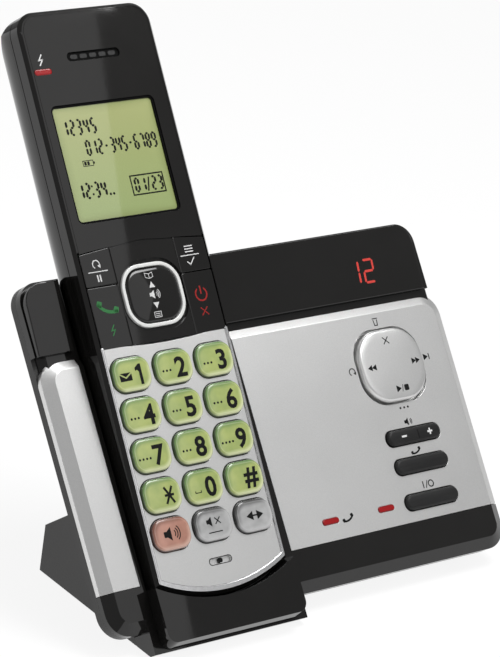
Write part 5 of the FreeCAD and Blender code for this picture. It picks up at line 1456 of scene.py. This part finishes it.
@dataclass
class NavigationKeys:
    """The navigation key in its white ring, and the four soft keys round it.

    Args:
        u: The middle of the ring up the face.
        ring: The ring's width and height.
        ring_corner: Its corner radius.
        ring_bulge: How far its sides bow out.
        band: Its width.
        ring_top: Its top's height.
        gap: The gap between the ring and the key in it.
        crown: The navigation key's crown.
        lens_low: The height at which the lens starts.
        inner: The soft keys' nearer side, from the middle.
        outer: Their farther side.
        low: The lower soft keys' lower side.
        split: The height of the seam between the upper and the lower soft keys.
        seam: Half that seam's width.
        floor: The soft keys' underside.
    """

    u: float = 22.0
    ring: tuple[float, float] = (21.4, 19.2)
    ring_corner: float = 6.7
    ring_bulge: float = 0.3
    band: float = 1.2
    ring_top: float = 0.28
    gap: float = 0.35
    crown: Crown = Crown(0.8, 0.35, 1.6, -0.2, 7)
    lens_low: float = 38.2
    inner: float = 11.5
    outer: float = 22.6
    low: float = 8.2
    split: float = 26.8
    seam: float = 0.14
    floor: float = -3.0

    def outline(self, inset: float) -> Array:
        """The ring's outline, taken in by an inset."""
        loop = box_outline(0, self.u, *self.ring, self.ring_corner, self.ring_bulge, 0.9, 12)
        return loop - inset * outward(loop)

    def build(self) -> None:
        """Builds the ring, the key and the soft keys with their signs."""
        ring = ring_moulding(self.outline(0.05), self.outline(self.band), -1.2, self.ring_top, 0.25)
        piece("navigation_ring_band", HANDSET, ring, Slot.RING, "handset", "navigation_ring")
        self.navigation()
        self.soft_keys()

    def navigation(self) -> None:
        """The domed navigation key with its signs."""
        loop = self.outline(self.band + self.gap)
        surface, dome = self.crown.over(loop, (0, self.u), loop.max(0) - loop.min(0), [(0.0, -1.4)])
        piece("navigation_key_cap", HANDSET, surface, Slot.SOFT_KEY, "navigation_key", "navigation_key")
        u = self.u
        signs = [arrow(-0.4, u + 2.9, 1.8, (0, 1)), arrow(-0.4, u - 3.4, 1.8, (0, -1)),
                 *Signs.speaker(0.0, u - 0.1, 3.2, 3, 0.2), *Signs.card(-0.5, u - 6.1, 1.6),
                 *Signs.book(-0.5, u + 5.7)]
        print_on("navigation_key_legend", HANDSET, signs, Ink.WHITE, "navigation_key", dome)

    def soft_keys(self) -> None:
        """The redial, menu, talk and off keys."""
        top = self.lens_low - 0.75
        upper = [(-self.outer, self.split + self.seam), (-self.inner, self.split + self.seam),
                 (-self.inner, top + 0.35), (-self.outer, top - 0.75)]
        lower = [(-self.outer, self.low), (-self.inner, self.low), (-self.inner, self.split - self.seam),
                 (-self.outer, self.split - self.seam)]
        for name, corners in (("redial_key", upper), ("talk_key", lower),
                              ("menu_key", self.mirrored(upper)), ("off_key", self.mirrored(lower))):
            surface = moulding(outline(corners, [0.5] * 4, None, 1.2, 4),
                               [(0.0, self.floor), (0.0, -0.2)] + shoulder(0.2, -0.2, 0.2, 3))
            piece(name + "_cap", HANDSET, surface, Slot.SOFT_KEY, name, name)
        for name, signs, ink in (
                ("redial_key", [*Signs.again(-17.4, 33.4, 2.4), bar(-17.3, 31.2, 7.0, 0.28),
                                *Signs.pause(-17.4, 29.2, 2.1)], Ink.WHITE),
                ("menu_key", [*Signs.bars(16.3, 33.7, 2.2), bar(16.2, 31.8, 6.8, 0.28),
                              *Signs.tick(16.1, 29.8, 2.4)], Ink.WHITE),
                ("talk_key", Signs.receiver(-17.3, 19.9, 7.0, -22.0) + Signs.spark(-17.0, 13.6, 3.0),
                 Ink.GREEN),
                ("off_key", Signs.power(16.8, 19.8, 4.0) + Signs.cross(16.6, 14.6, 2.2), Ink.RED)):
            print_on(name + "_legend", HANDSET, signs, ink, name)

    @staticmethod
    def mirrored(corners: list[tuple[float, float]]) -> list[tuple[float, float]]:
        """The same corners on the other side, still counter-clockwise."""
        return [(-x, u) for x, u in (corners[1], corners[0], corners[3], corners[2])]


@dataclass
class HandsetFace:
    """Lens, display, key plate and shells of the handset.

    Args:
        window: The display window's left, lower, right and upper sides.
        window_corner: Its corner radius.
        face_level: The height of the liquid crystal face.
        slot_u: The middle of the earpiece slot up the face.
        slot_size: Its width and height.
        bezel: The width of the black border round the window.
        moat: The width of the groove round the navigation ring.
        moat_floor: Its depth.
        wave: Half the length, the foot and the rise of the groove over the soft keys.
        light: The middle of the charge light.
        hole: The middle of the microphone's mark, painted shade of its recess and its hole.
        edges: Rounding of the nodes that keep their own shape, by slot.
    """

    window: tuple[float, float, float, float] = (-19.0, 46.2, 16.8, 80.5)
    window_corner: float = 1.2
    face_level: float = -0.75
    slot_u: float = 95.2
    slot_size: tuple[float, float] = (18.96, 2.76)
    bezel: float = 0.7
    moat: float = 1.1
    moat_floor: float = -0.55
    wave: tuple[float, float, float] = (12.0, 37.65, 0.8)
    light: tuple[float, float] = (-19.0, 91.6)
    hole: tuple[float, float] = (0.0, -57.9)
    edges: dict[Slot, dict[str, float]] = field(default_factory=lambda: {
        Slot.GLOSS_BLACK: {"handset_front_shell": 0.45, "handset_rear_shell": 0.5, "battery_door": 0.15},
        Slot.SILVER: {"keypad_plate": 0.12}, Slot.RIM: {"keypad_rim": 0.22},
        Slot.BOARD: {"handset_board": 0.0}, Slot.MAT: {"handset_key_mat": 0.0}, Slot.LCD: {"lcd_panel": 0.0},
        Slot.MODULE: {"receiver": 0.0, "microphone": 0.0}, Slot.METAL: {"charge_terminals": 0.0},
        Slot.SLEEVE: {"battery_pack": 0.0}})

    def build(self) -> None:
        """Builds the lens, the display and the openings, and dresses the shells."""
        self.lens()
        self.display()
        dress(self.edges)
        piece("charge_light_lens", HANDSET, light_lens(*self.light, 6.0, 1.2, (0.3, 0.15)), Slot.RED,
              "handset", "charge_light")
        self.earpiece()
        print_on("charge_sign", HANDSET, Signs.spark(-18.9, 95.2, 3.0, 0.4), Ink.WHITE, "handset")
        # painted shade: a dark outline where the microphone's recess edge lies in shade, and a dark dot for
        # its hole
        slot = box_outline(*self.hole, 8.1, 2.0, 0.98, turns=6)
        marks = stroke(np.vstack([slot, slot[:1]]), 0.22)
        marks.append(Mark(box_outline(*self.hole, 1.5, 1.5, 0.7, turns=4)))
        print_on("microphone_recess_shade", HANDSET, marks, Ink.BLACK, "handset")

    def earpiece(self) -> None:
        """The matt floor of the earpiece slot and the five cells in it."""
        cloth = box_outline(0.0, self.slot_u, *self.slot_size, self.slot_size[1] * 0.48, turns=6)
        # the slot's floor is near black and barely reflects, as painted shade of the slot
        piece("receiver_cloth", HANDSET, moulding(cloth, [(0.0, -0.62), (0.0, -0.5)]), BLACK_WITH_RECESS_SHADE, "handset")
        for number in range(5):
            cell = box_outline(3.4 * (number - 2), self.slot_u, 2.5, 1.3, 0.5, turns=4)
            piece(f"receiver_cell_{number + 1}", HANDSET, moulding(cell, [(0.0, -0.55), (0.0, -0.42)]),
                  Slot.RUBBER, "handset")

    def opening(self, inset: float) -> Array:
        """The display window's outline.

        Args:
            inset: How far it is taken in, in millimetres.

        Returns:
            An array of (x, u) rows.
        """
        left, low, right, top = self.window
        loop = box_outline((left + right) / 2, (low + top) / 2, right - left, top - low, self.window_corner,
                           turns=6)
        return loop - inset * outward(loop)

    def crest(self) -> Surface:
        """The groove that carries the line of the soft keys' tops across the lens.

        It follows foot + rise·cos²(πx / 2·reach) between −reach and reach.

        Returns:
            The closed cutter.
        """
        reach, foot, rise = self.wave
        across = np.linspace(-reach, reach, 25)
        line = np.column_stack([across, foot + rise * np.cos(across * math.pi / 2 / reach)**2])
        loop = np.vstack([line - [0, 0.2], line[::-1] + [0, 0.2]])
        return moulding(loop, [(0.0, -0.45), (0.0, 1.0)])

    def lens(self) -> None:
        """The gloss lens: a copy of its node, cut with its window, a groove and a moat round the ring."""
        keys = NavigationKeys()
        mesh = carved("display_lens", HANDSET, [
            moulding(self.opening(-self.bezel), [(0.0, -3.0), (0.0, 1.0)]), self.crest(),
            ring_moulding(keys.outline(-self.moat), keys.outline(keys.band + keys.gap), self.moat_floor,
                          1.0, 0.05)])
        soften(place("display_lens_carved", mesh, Slot.GLOSS_BLACK, "handset", "display_lens"), 0.2, 3, 35)

    def display(self) -> None:
        """The liquid crystal face in the window, with generic figures."""
        left, low, right, top = self.window
        # a near black ring round the window: its black border, darkened as painted shade of the window's
        # recess
        rim = ring_moulding(self.opening(-self.bezel - 0.05), self.opening(0.0), -1.15, -0.35, 0.12)
        piece("display_bezel", HANDSET, rim, BLACK_WITH_RECESS_SHADE, "handset")
        level = self.face_level
        middle = Dome((left + right) / 2, (low + top) / 2, 17.0, 17.0, level, 0.0)
        surface = moulding(self.opening(0.02), [(0.0, -1.4), (0.0, level)], middle, 12)
        piece("liquid_crystal_face", HANDSET, surface, Slot.LCD, "handset")
        figures = []
        for text, x, u, width, height, pitch, thick in (
                ("12345", -15.8, 74.3, 2.0, 5.0, 2.5, 0.76),
                ("012-345-6789", -9.4, 67.8, 1.9, 4.9, 2.17, 0.7),
                ("12", -15.7, 55.2, 2.05, 5.0, 2.45, 0.78), ("34", -10.0, 55.2, 2.05, 5.0, 2.45, 0.78),
                ("01", 4.4, 54.9, 1.95, 4.6, 2.3, 0.74), ("23", 10.6, 54.9, 1.95, 4.6, 2.3, 0.74)):
            figures += segments(text, x, u, width, height, pitch, thick)
        figures += [bar(x, u, width, height) for x, u, width, height in (
            (-11.6, 56.4, 0.6, 0.6), (-11.6, 54.0, 0.6, 0.6), (8.35, 52.0, 12.1, 0.42),
            (8.35, 57.8, 12.1, 0.42), (2.5, 54.9, 0.42, 6.2), (14.2, 54.9, 0.42, 6.2))]
        figures.append(polygon((7.8, 52.7), (8.3, 52.7), (9.3, 56.9), (8.8, 56.9)))
        figures += Signs.dots(-5.0, 53.4, 2, 1.2, 0.8) + Signs.battery(-10.8, 63.3)
        print_on("liquid_crystal_figures", HANDSET, figures, Ink.SEGMENT, "handset", level)


# ---------------------------------------------------------------- base


@dataclass
class ControlPanel:
    """Pad, rocker, pill keys, lights and signs of the control panel.

    Args:
        pad: The middle of the four-way pad.
        pad_size: Its width and height.
        pad_corner: Its corner radius.
        pad_crown: Its crown.
        pill_x: The middle of the rocker and the pill keys across.
        pill_size: Their width and height.
        pill_crown: Their crown.
        volume_u: The rocker's middle up the face.
        find_u: The find key's.
        answer_u: The answer key's, and the lights'.
        lights: The lights' middles across.
        cap: The slope of the display cap.
    """

    pad: tuple[float, float] = (85.3, -10.9)
    pad_size: tuple[float, float] = (25.2, 23.0)
    pad_corner: float = 8.6
    pad_crown: Crown = Crown(1.9, 0.25, 1.2, 0.15, 8, 3.0)
    pill_x: float = 86.3
    pill_size: tuple[float, float] = (21.0, 4.8)
    pill_crown: Crown = Crown(1.3, 0.12, 1.0, 0.2, 4, 1.5)
    volume_u: float = -33.4
    find_u: float = -42.5
    answer_u: float = -53.7
    lights: dict[str, float] = field(default_factory=lambda: {"in_use_light": 46.2, "answer_light": 68.05})
    cap: Slope = Slope(10.0, 1.4 / 23.2)

    def build(self) -> None:
        """Builds every control and its signs."""
        self.skip_pad()
        self.pills()
        for name, x in self.lights.items():
            piece(name + "_lens", BASE, light_lens(x, self.answer_u, 6.3, 5.0, (0.35, 0.25)), Slot.RED,
                  "base", name)
        self.signs()

    def skip_pad(self) -> None:
        """The four-way pad: a silver rounded square with a soft crown."""
        x, u = self.pad
        loop = box_outline(x, u, *self.pad_size, self.pad_corner, 0.5, 1.0, 12)
        surface, dome = self.pad_crown.over(loop, self.pad, self.pad_size, skirt(1.0, -2.4, -0.6))
        piece("skip_pad_cap", BASE, surface, Slot.SILVER, "skip_pad", "skip_pad")
        marks = [
            arrow(x - 7.8, u, 1.7, (-1, 0)), arrow(x - 9.4, u, 1.7, (-1, 0)),
            arrow(x + 9.8, u - 0.1, 1.7, (1, 0)), arrow(x + 8.2, u - 0.1, 1.7, (1, 0)),
            arrow(x - 0.5, u - 7.8, 1.9, (1, 0)), bar(x + 2.5, u - 7.8, 1.8, 1.9),
            polygon((x + 0.6, u - 8.9), (x + 0.8, u - 8.9), (x + 1.3, u - 6.7), (x + 1.1, u - 6.7)),
            *Signs.cross(x - 0.4, u + 7.7, 2.0)]
        print_on("skip_pad_legend", BASE, marks, Ink.BLACK, "skip_pad", dome)

    def pills(self) -> None:
        """The volume rocker and the two pill keys."""
        x, u = self.pill_x, self.volume_u
        dome = self.pill("volume_rocker", u, -2.4, 0.6)
        signs = [bar(x - 4.5, u, 2.0, 0.6), bar(x + 5.9, u, 2.0, 0.6), bar(x + 5.9, u, 0.6, 2.0)]
        print_on("volume_rocker_legend", BASE, signs, Ink.WHITE, "volume_rocker", dome)
        # painted shade: a dark bar for the shade in the rocker's groove
        print_on("volume_rocker_groove_shade", BASE, [bar(x + 1.2, u, 0.35, 3.0)], Ink.BLACK, "volume_rocker", dome)
        self.pill("find_handset_key", self.find_u, -1.8, 1.0)
        self.pill("answer_key", self.answer_u, -1.8, 1.0)

    def pill(self, name: str, u: float, flange_top: float, reach: float) -> Dome:
        """Builds one pill key.

        Args:
            name: The key's node.
            u: Its middle up.
            flange_top: The height of its hidden flange's top.
            reach: The flange's reach.

        Returns:
            The crown, for the signs on it.
        """
        loop = box_outline(self.pill_x, u, *self.pill_size, self.pill_size[1] / 2 - 0.02, 0.0, 1.4, 10)
        surface, dome = self.pill_crown.over(loop, (self.pill_x, u), self.pill_size,
                                             skirt(reach, flange_top, -0.4))
        piece(name + "_cap", BASE, surface, Slot.RUBBER, name, name)
        return dome

    def signs(self) -> None:
        """Plain signs, printed black on the silver panel, and the red message count."""
        x, u = self.pad
        pill, over = self.pill_x, self.answer_u + 4.6
        signs = [
            *Signs.bin(x - 0.9, u + 14.2, 2.2), *Signs.again(x - 15.2, u + 0.2, 2.2),
            arrow(x + 14.7, u + 0.6, 1.8, (1, 0)), bar(x + 16.0, u + 0.6, 0.35, 1.9),
            *Signs.dots(x + 0.7, u - 13.6, 3, 1.5), *Signs.speaker(pill, self.volume_u + 4.4, 3.0, 2, 0.25),
            *Signs.receiver(pill - 0.5, self.find_u + 3.9, 3.8, 20.0),
            bar(pill - 1.6, over, 0.35, 2.2), arc(pill + 1.5, over, 1.0, 0, 359.9, 0.35),
            *stroke([(pill - 0.6, over - 1.0), (pill + 0.2, over + 1.0)], 0.28),
            *Signs.receiver(53.0, self.answer_u - 0.5, 4.2, 20.0)]
        print_on("panel_signs", BASE, signs, Ink.BLACK, "base")
        count = segments("12", 81.4, 19.4, 4.5, 7.8, 5.8, 0.75, 0.05)
        print_on("message_count", BASE, count, Ink.GLOW, "base", self.cap, 0.03)


@dataclass
class BaseBody:
    """Cover, plates, caps, lip and rear housing of the base, and what is inside them."""

    edges: dict[Slot, dict[str, float]] = field(default_factory=lambda: {
        Slot.GLOSS_BLACK: {"front_cover": 0.25, "left_cap": 0.3, "display_cap": 0.3, "cradle_lip": 0.35},
        Slot.SILVER: {"left_trim_plate": 0.12, "control_panel_plate": 0.12},
        Slot.SHELL_BLACK: {"rear_shell": 0.4, "line_jack": 0.15, "power_jack": 0.15},
        Slot.FOOT: {"rubber_feet": 0.2},
        Slot.METAL: {"shell_screws": 0.1, "charge_contact_left": 0.1, "charge_contact_right": 0.1},
        Slot.SPEAKER: {"loudspeaker": 0.2}, Slot.BOARD: {"base_board": 0.0},
        Slot.MAT: {"base_key_mat": 0.0, "pad_gimbal": 0.0}, Slot.MODULE: {"message_display": 0.0}})

    def build(self) -> None:
        """Dresses every node of the base that keeps its own shape."""
        dress(self.edges)


# ---------------------------------------------------------------- studio


def turned(place_at: tuple[float, float, float], right: Vector, up: Vector, back: Vector) -> Matrix:
    """The place and turn of a lamp or camera, from its own three directions."""
    return Matrix.Translation(place_at) @ Matrix((right, up, back)).transposed().to_4x4()


@dataclass(frozen=True)
class Lamp:
    """A rectangular softbox.

    Args:
        name: Its name.
        middle: Its middle, in metres.
        target: The point that it faces.
        size: Its width and length, in metres.
        level: The brightness of its face, where 1 shows as white.
        along: The direction of its length.
    """

    name: str
    middle: tuple[float, float, float]
    target: tuple[float, float, float]
    size: tuple[float, float]
    level: float
    along: tuple[float, float, float]

    def build(self) -> None:
        """Hangs the lamp."""
        data = bpy.data.lights.new(self.name, "AREA")
        data.shape, data.size, data.size_y = "RECTANGLE", *self.size
        data.energy = self.level * math.pi * self.size[0] * self.size[1]
        back = (Vector(self.middle) - Vector(self.target)).normalized()
        across = Vector(self.along).cross(back).normalized()
        hang(self.name, data).matrix_world = turned(self.middle, across, back.cross(across), back)


@dataclass
class Studio:
    """Pale floor, soft lamps and the camera.

    Args:
        floor_size: The floor's side, in metres.
        floor_white: The share of plain white that the eye and gloss see in the floor.
        eye: The camera's place, in metres.
        right: Its direction to the right.
        up: Its direction upwards.
        lens: Its focal length, in millimetres.
        sensor: The width of its film, in millimetres.
        clip: The nearest and the farthest that it sees, in metres.
        surround: The strength of the surround that lights the object.
        lamps: The lamps.
    """

    floor_size: float = 8.0
    floor_white: float = 0.8
    eye: tuple[float, float, float] = (-0.59982, -0.68970, 0.46130)
    right: tuple[float, float, float] = (0.78400, -0.60511, 0.13848)
    up: tuple[float, float, float] = (0.14176, 0.39172, 0.90910)
    lens: float = 181.31
    sensor: float = 36.0
    clip: tuple[float, float] = (0.01, 50.0)
    surround: float = 0.29
    lamps: tuple[Lamp, ...] = (
        Lamp("side softbox", (0.2430, -0.7276, 0.6114), (-0.2774, -0.2313, 0.0716), (0.55, 0.83), 0.64,
             (0.074, 0.661, 0.7465)),
        Lamp("top softbox", (0.3050, -0.2070, 1.1950), (-0.2730, 0.3440, 0.5950), (0.65, 0.70), 2.2,
             (0.074, 0.661, 0.7465)),
        Lamp("upper card", (0.118, -0.060, 0.450), (0.0, -0.01, 0.08), (0.2, 0.2), 8.2, (0.0, 1.0, 0.0)),
        Lamp("edge strip", (-0.87, -0.47, 0.53), (-0.04, 0.0, 0.1), (0.05, 0.9), 6.0, (0.0, 0.59, 0.81)))

    def build(self) -> None:
        """Sets the whole studio up."""
        self.world()
        self.floor()
        for lamp in self.lamps:
            lamp.build()
        self.camera()
        bpy.context.scene.view_settings.view_transform = "Standard"

    def world(self) -> None:
        """A soft grey surround that the camera sees as white."""
        world = bpy.data.worlds.new("Surround")
        world.use_nodes = True
        bpy.context.scene.world = world
        g = Graph(world.node_tree)
        g.tree.nodes.remove(g.tree.nodes["Background"])
        seen = g.add("Background", {"Color": WHITE, "Strength": 1.0})
        lit = g.add("Background", {"Color": WHITE, "Strength": self.surround})
        mix = g.add("MixShader", {0: g.add("LightPath").outputs["Is Camera Ray"], 1: lit.outputs[0],
                                  2: seen.outputs[0]})
        g.join(mix.outputs[0], g.tree.nodes["World Output"], "Surface")

    def floor(self) -> None:
        """A pale floor, part lit and part plain white to the eye and in gloss, which keeps the shadow."""
        half = self.floor_size / 2
        corners = np.array([(-half, -half, 0.0), (half, -half, 0.0), (half, half, 0.0), (-half, half, 0.0)])
        floor = hang("floor", mesh_of("floor", Surface(corners, [(0, 1, 2, 3)])))
        kit = Wiring("Floor")
        for label, value in (("Base Color", (0.86, 0.86, 0.86, 1)), ("Roughness", 0.7),
                             ("Specular IOR Level", 0.2)):
            kit.shader.inputs[label].default_value = value
        rays = kit.add("LightPath").outputs
        mirrored = kit.sum("MAXIMUM", rays["Is Glossy Ray"], rays["Is Transmission Ray"])
        share = kit.sum("MULTIPLY", kit.sum("MAXIMUM", rays["Is Camera Ray"], mirrored), self.floor_white)
        white = kit.add("Emission", {"Color": WHITE, "Strength": 1.1})
        mix = kit.add("MixShader", {0: share, 1: kit.shader.outputs[0], 2: white.outputs[0]})
        kit.join(mix.outputs[0], kit.tree.nodes["Material Output"], "Surface")
        floor.data.materials.append(kit.material)

    def camera(self) -> None:
        """The viewing camera."""
        data = bpy.data.cameras.new("camera")
        data.lens, data.sensor_width = self.lens, self.sensor
        data.clip_start, data.clip_end = self.clip
        right, up = Vector(self.right).normalized(), Vector(self.up).normalized()
        camera = hang("camera", data)
        camera.matrix_world = turned(self.eye, right, up, right.cross(up))
        bpy.context.scene.camera = camera


# ---------------------------------------------------------------- main


def main() -> None:
    """Builds the studio, the base and the handset in order."""
    logging.basicConfig(level=logging.INFO, format="%(message)s")
    for assembly in (Studio(), BaseBody(), ControlPanel(), HandsetFace(), NavigationKeys(), HandsetKeys()):
        assembly.build()
        LOG.info("%s built", type(assembly).__name__)


if __name__ == "__main__":
    main()
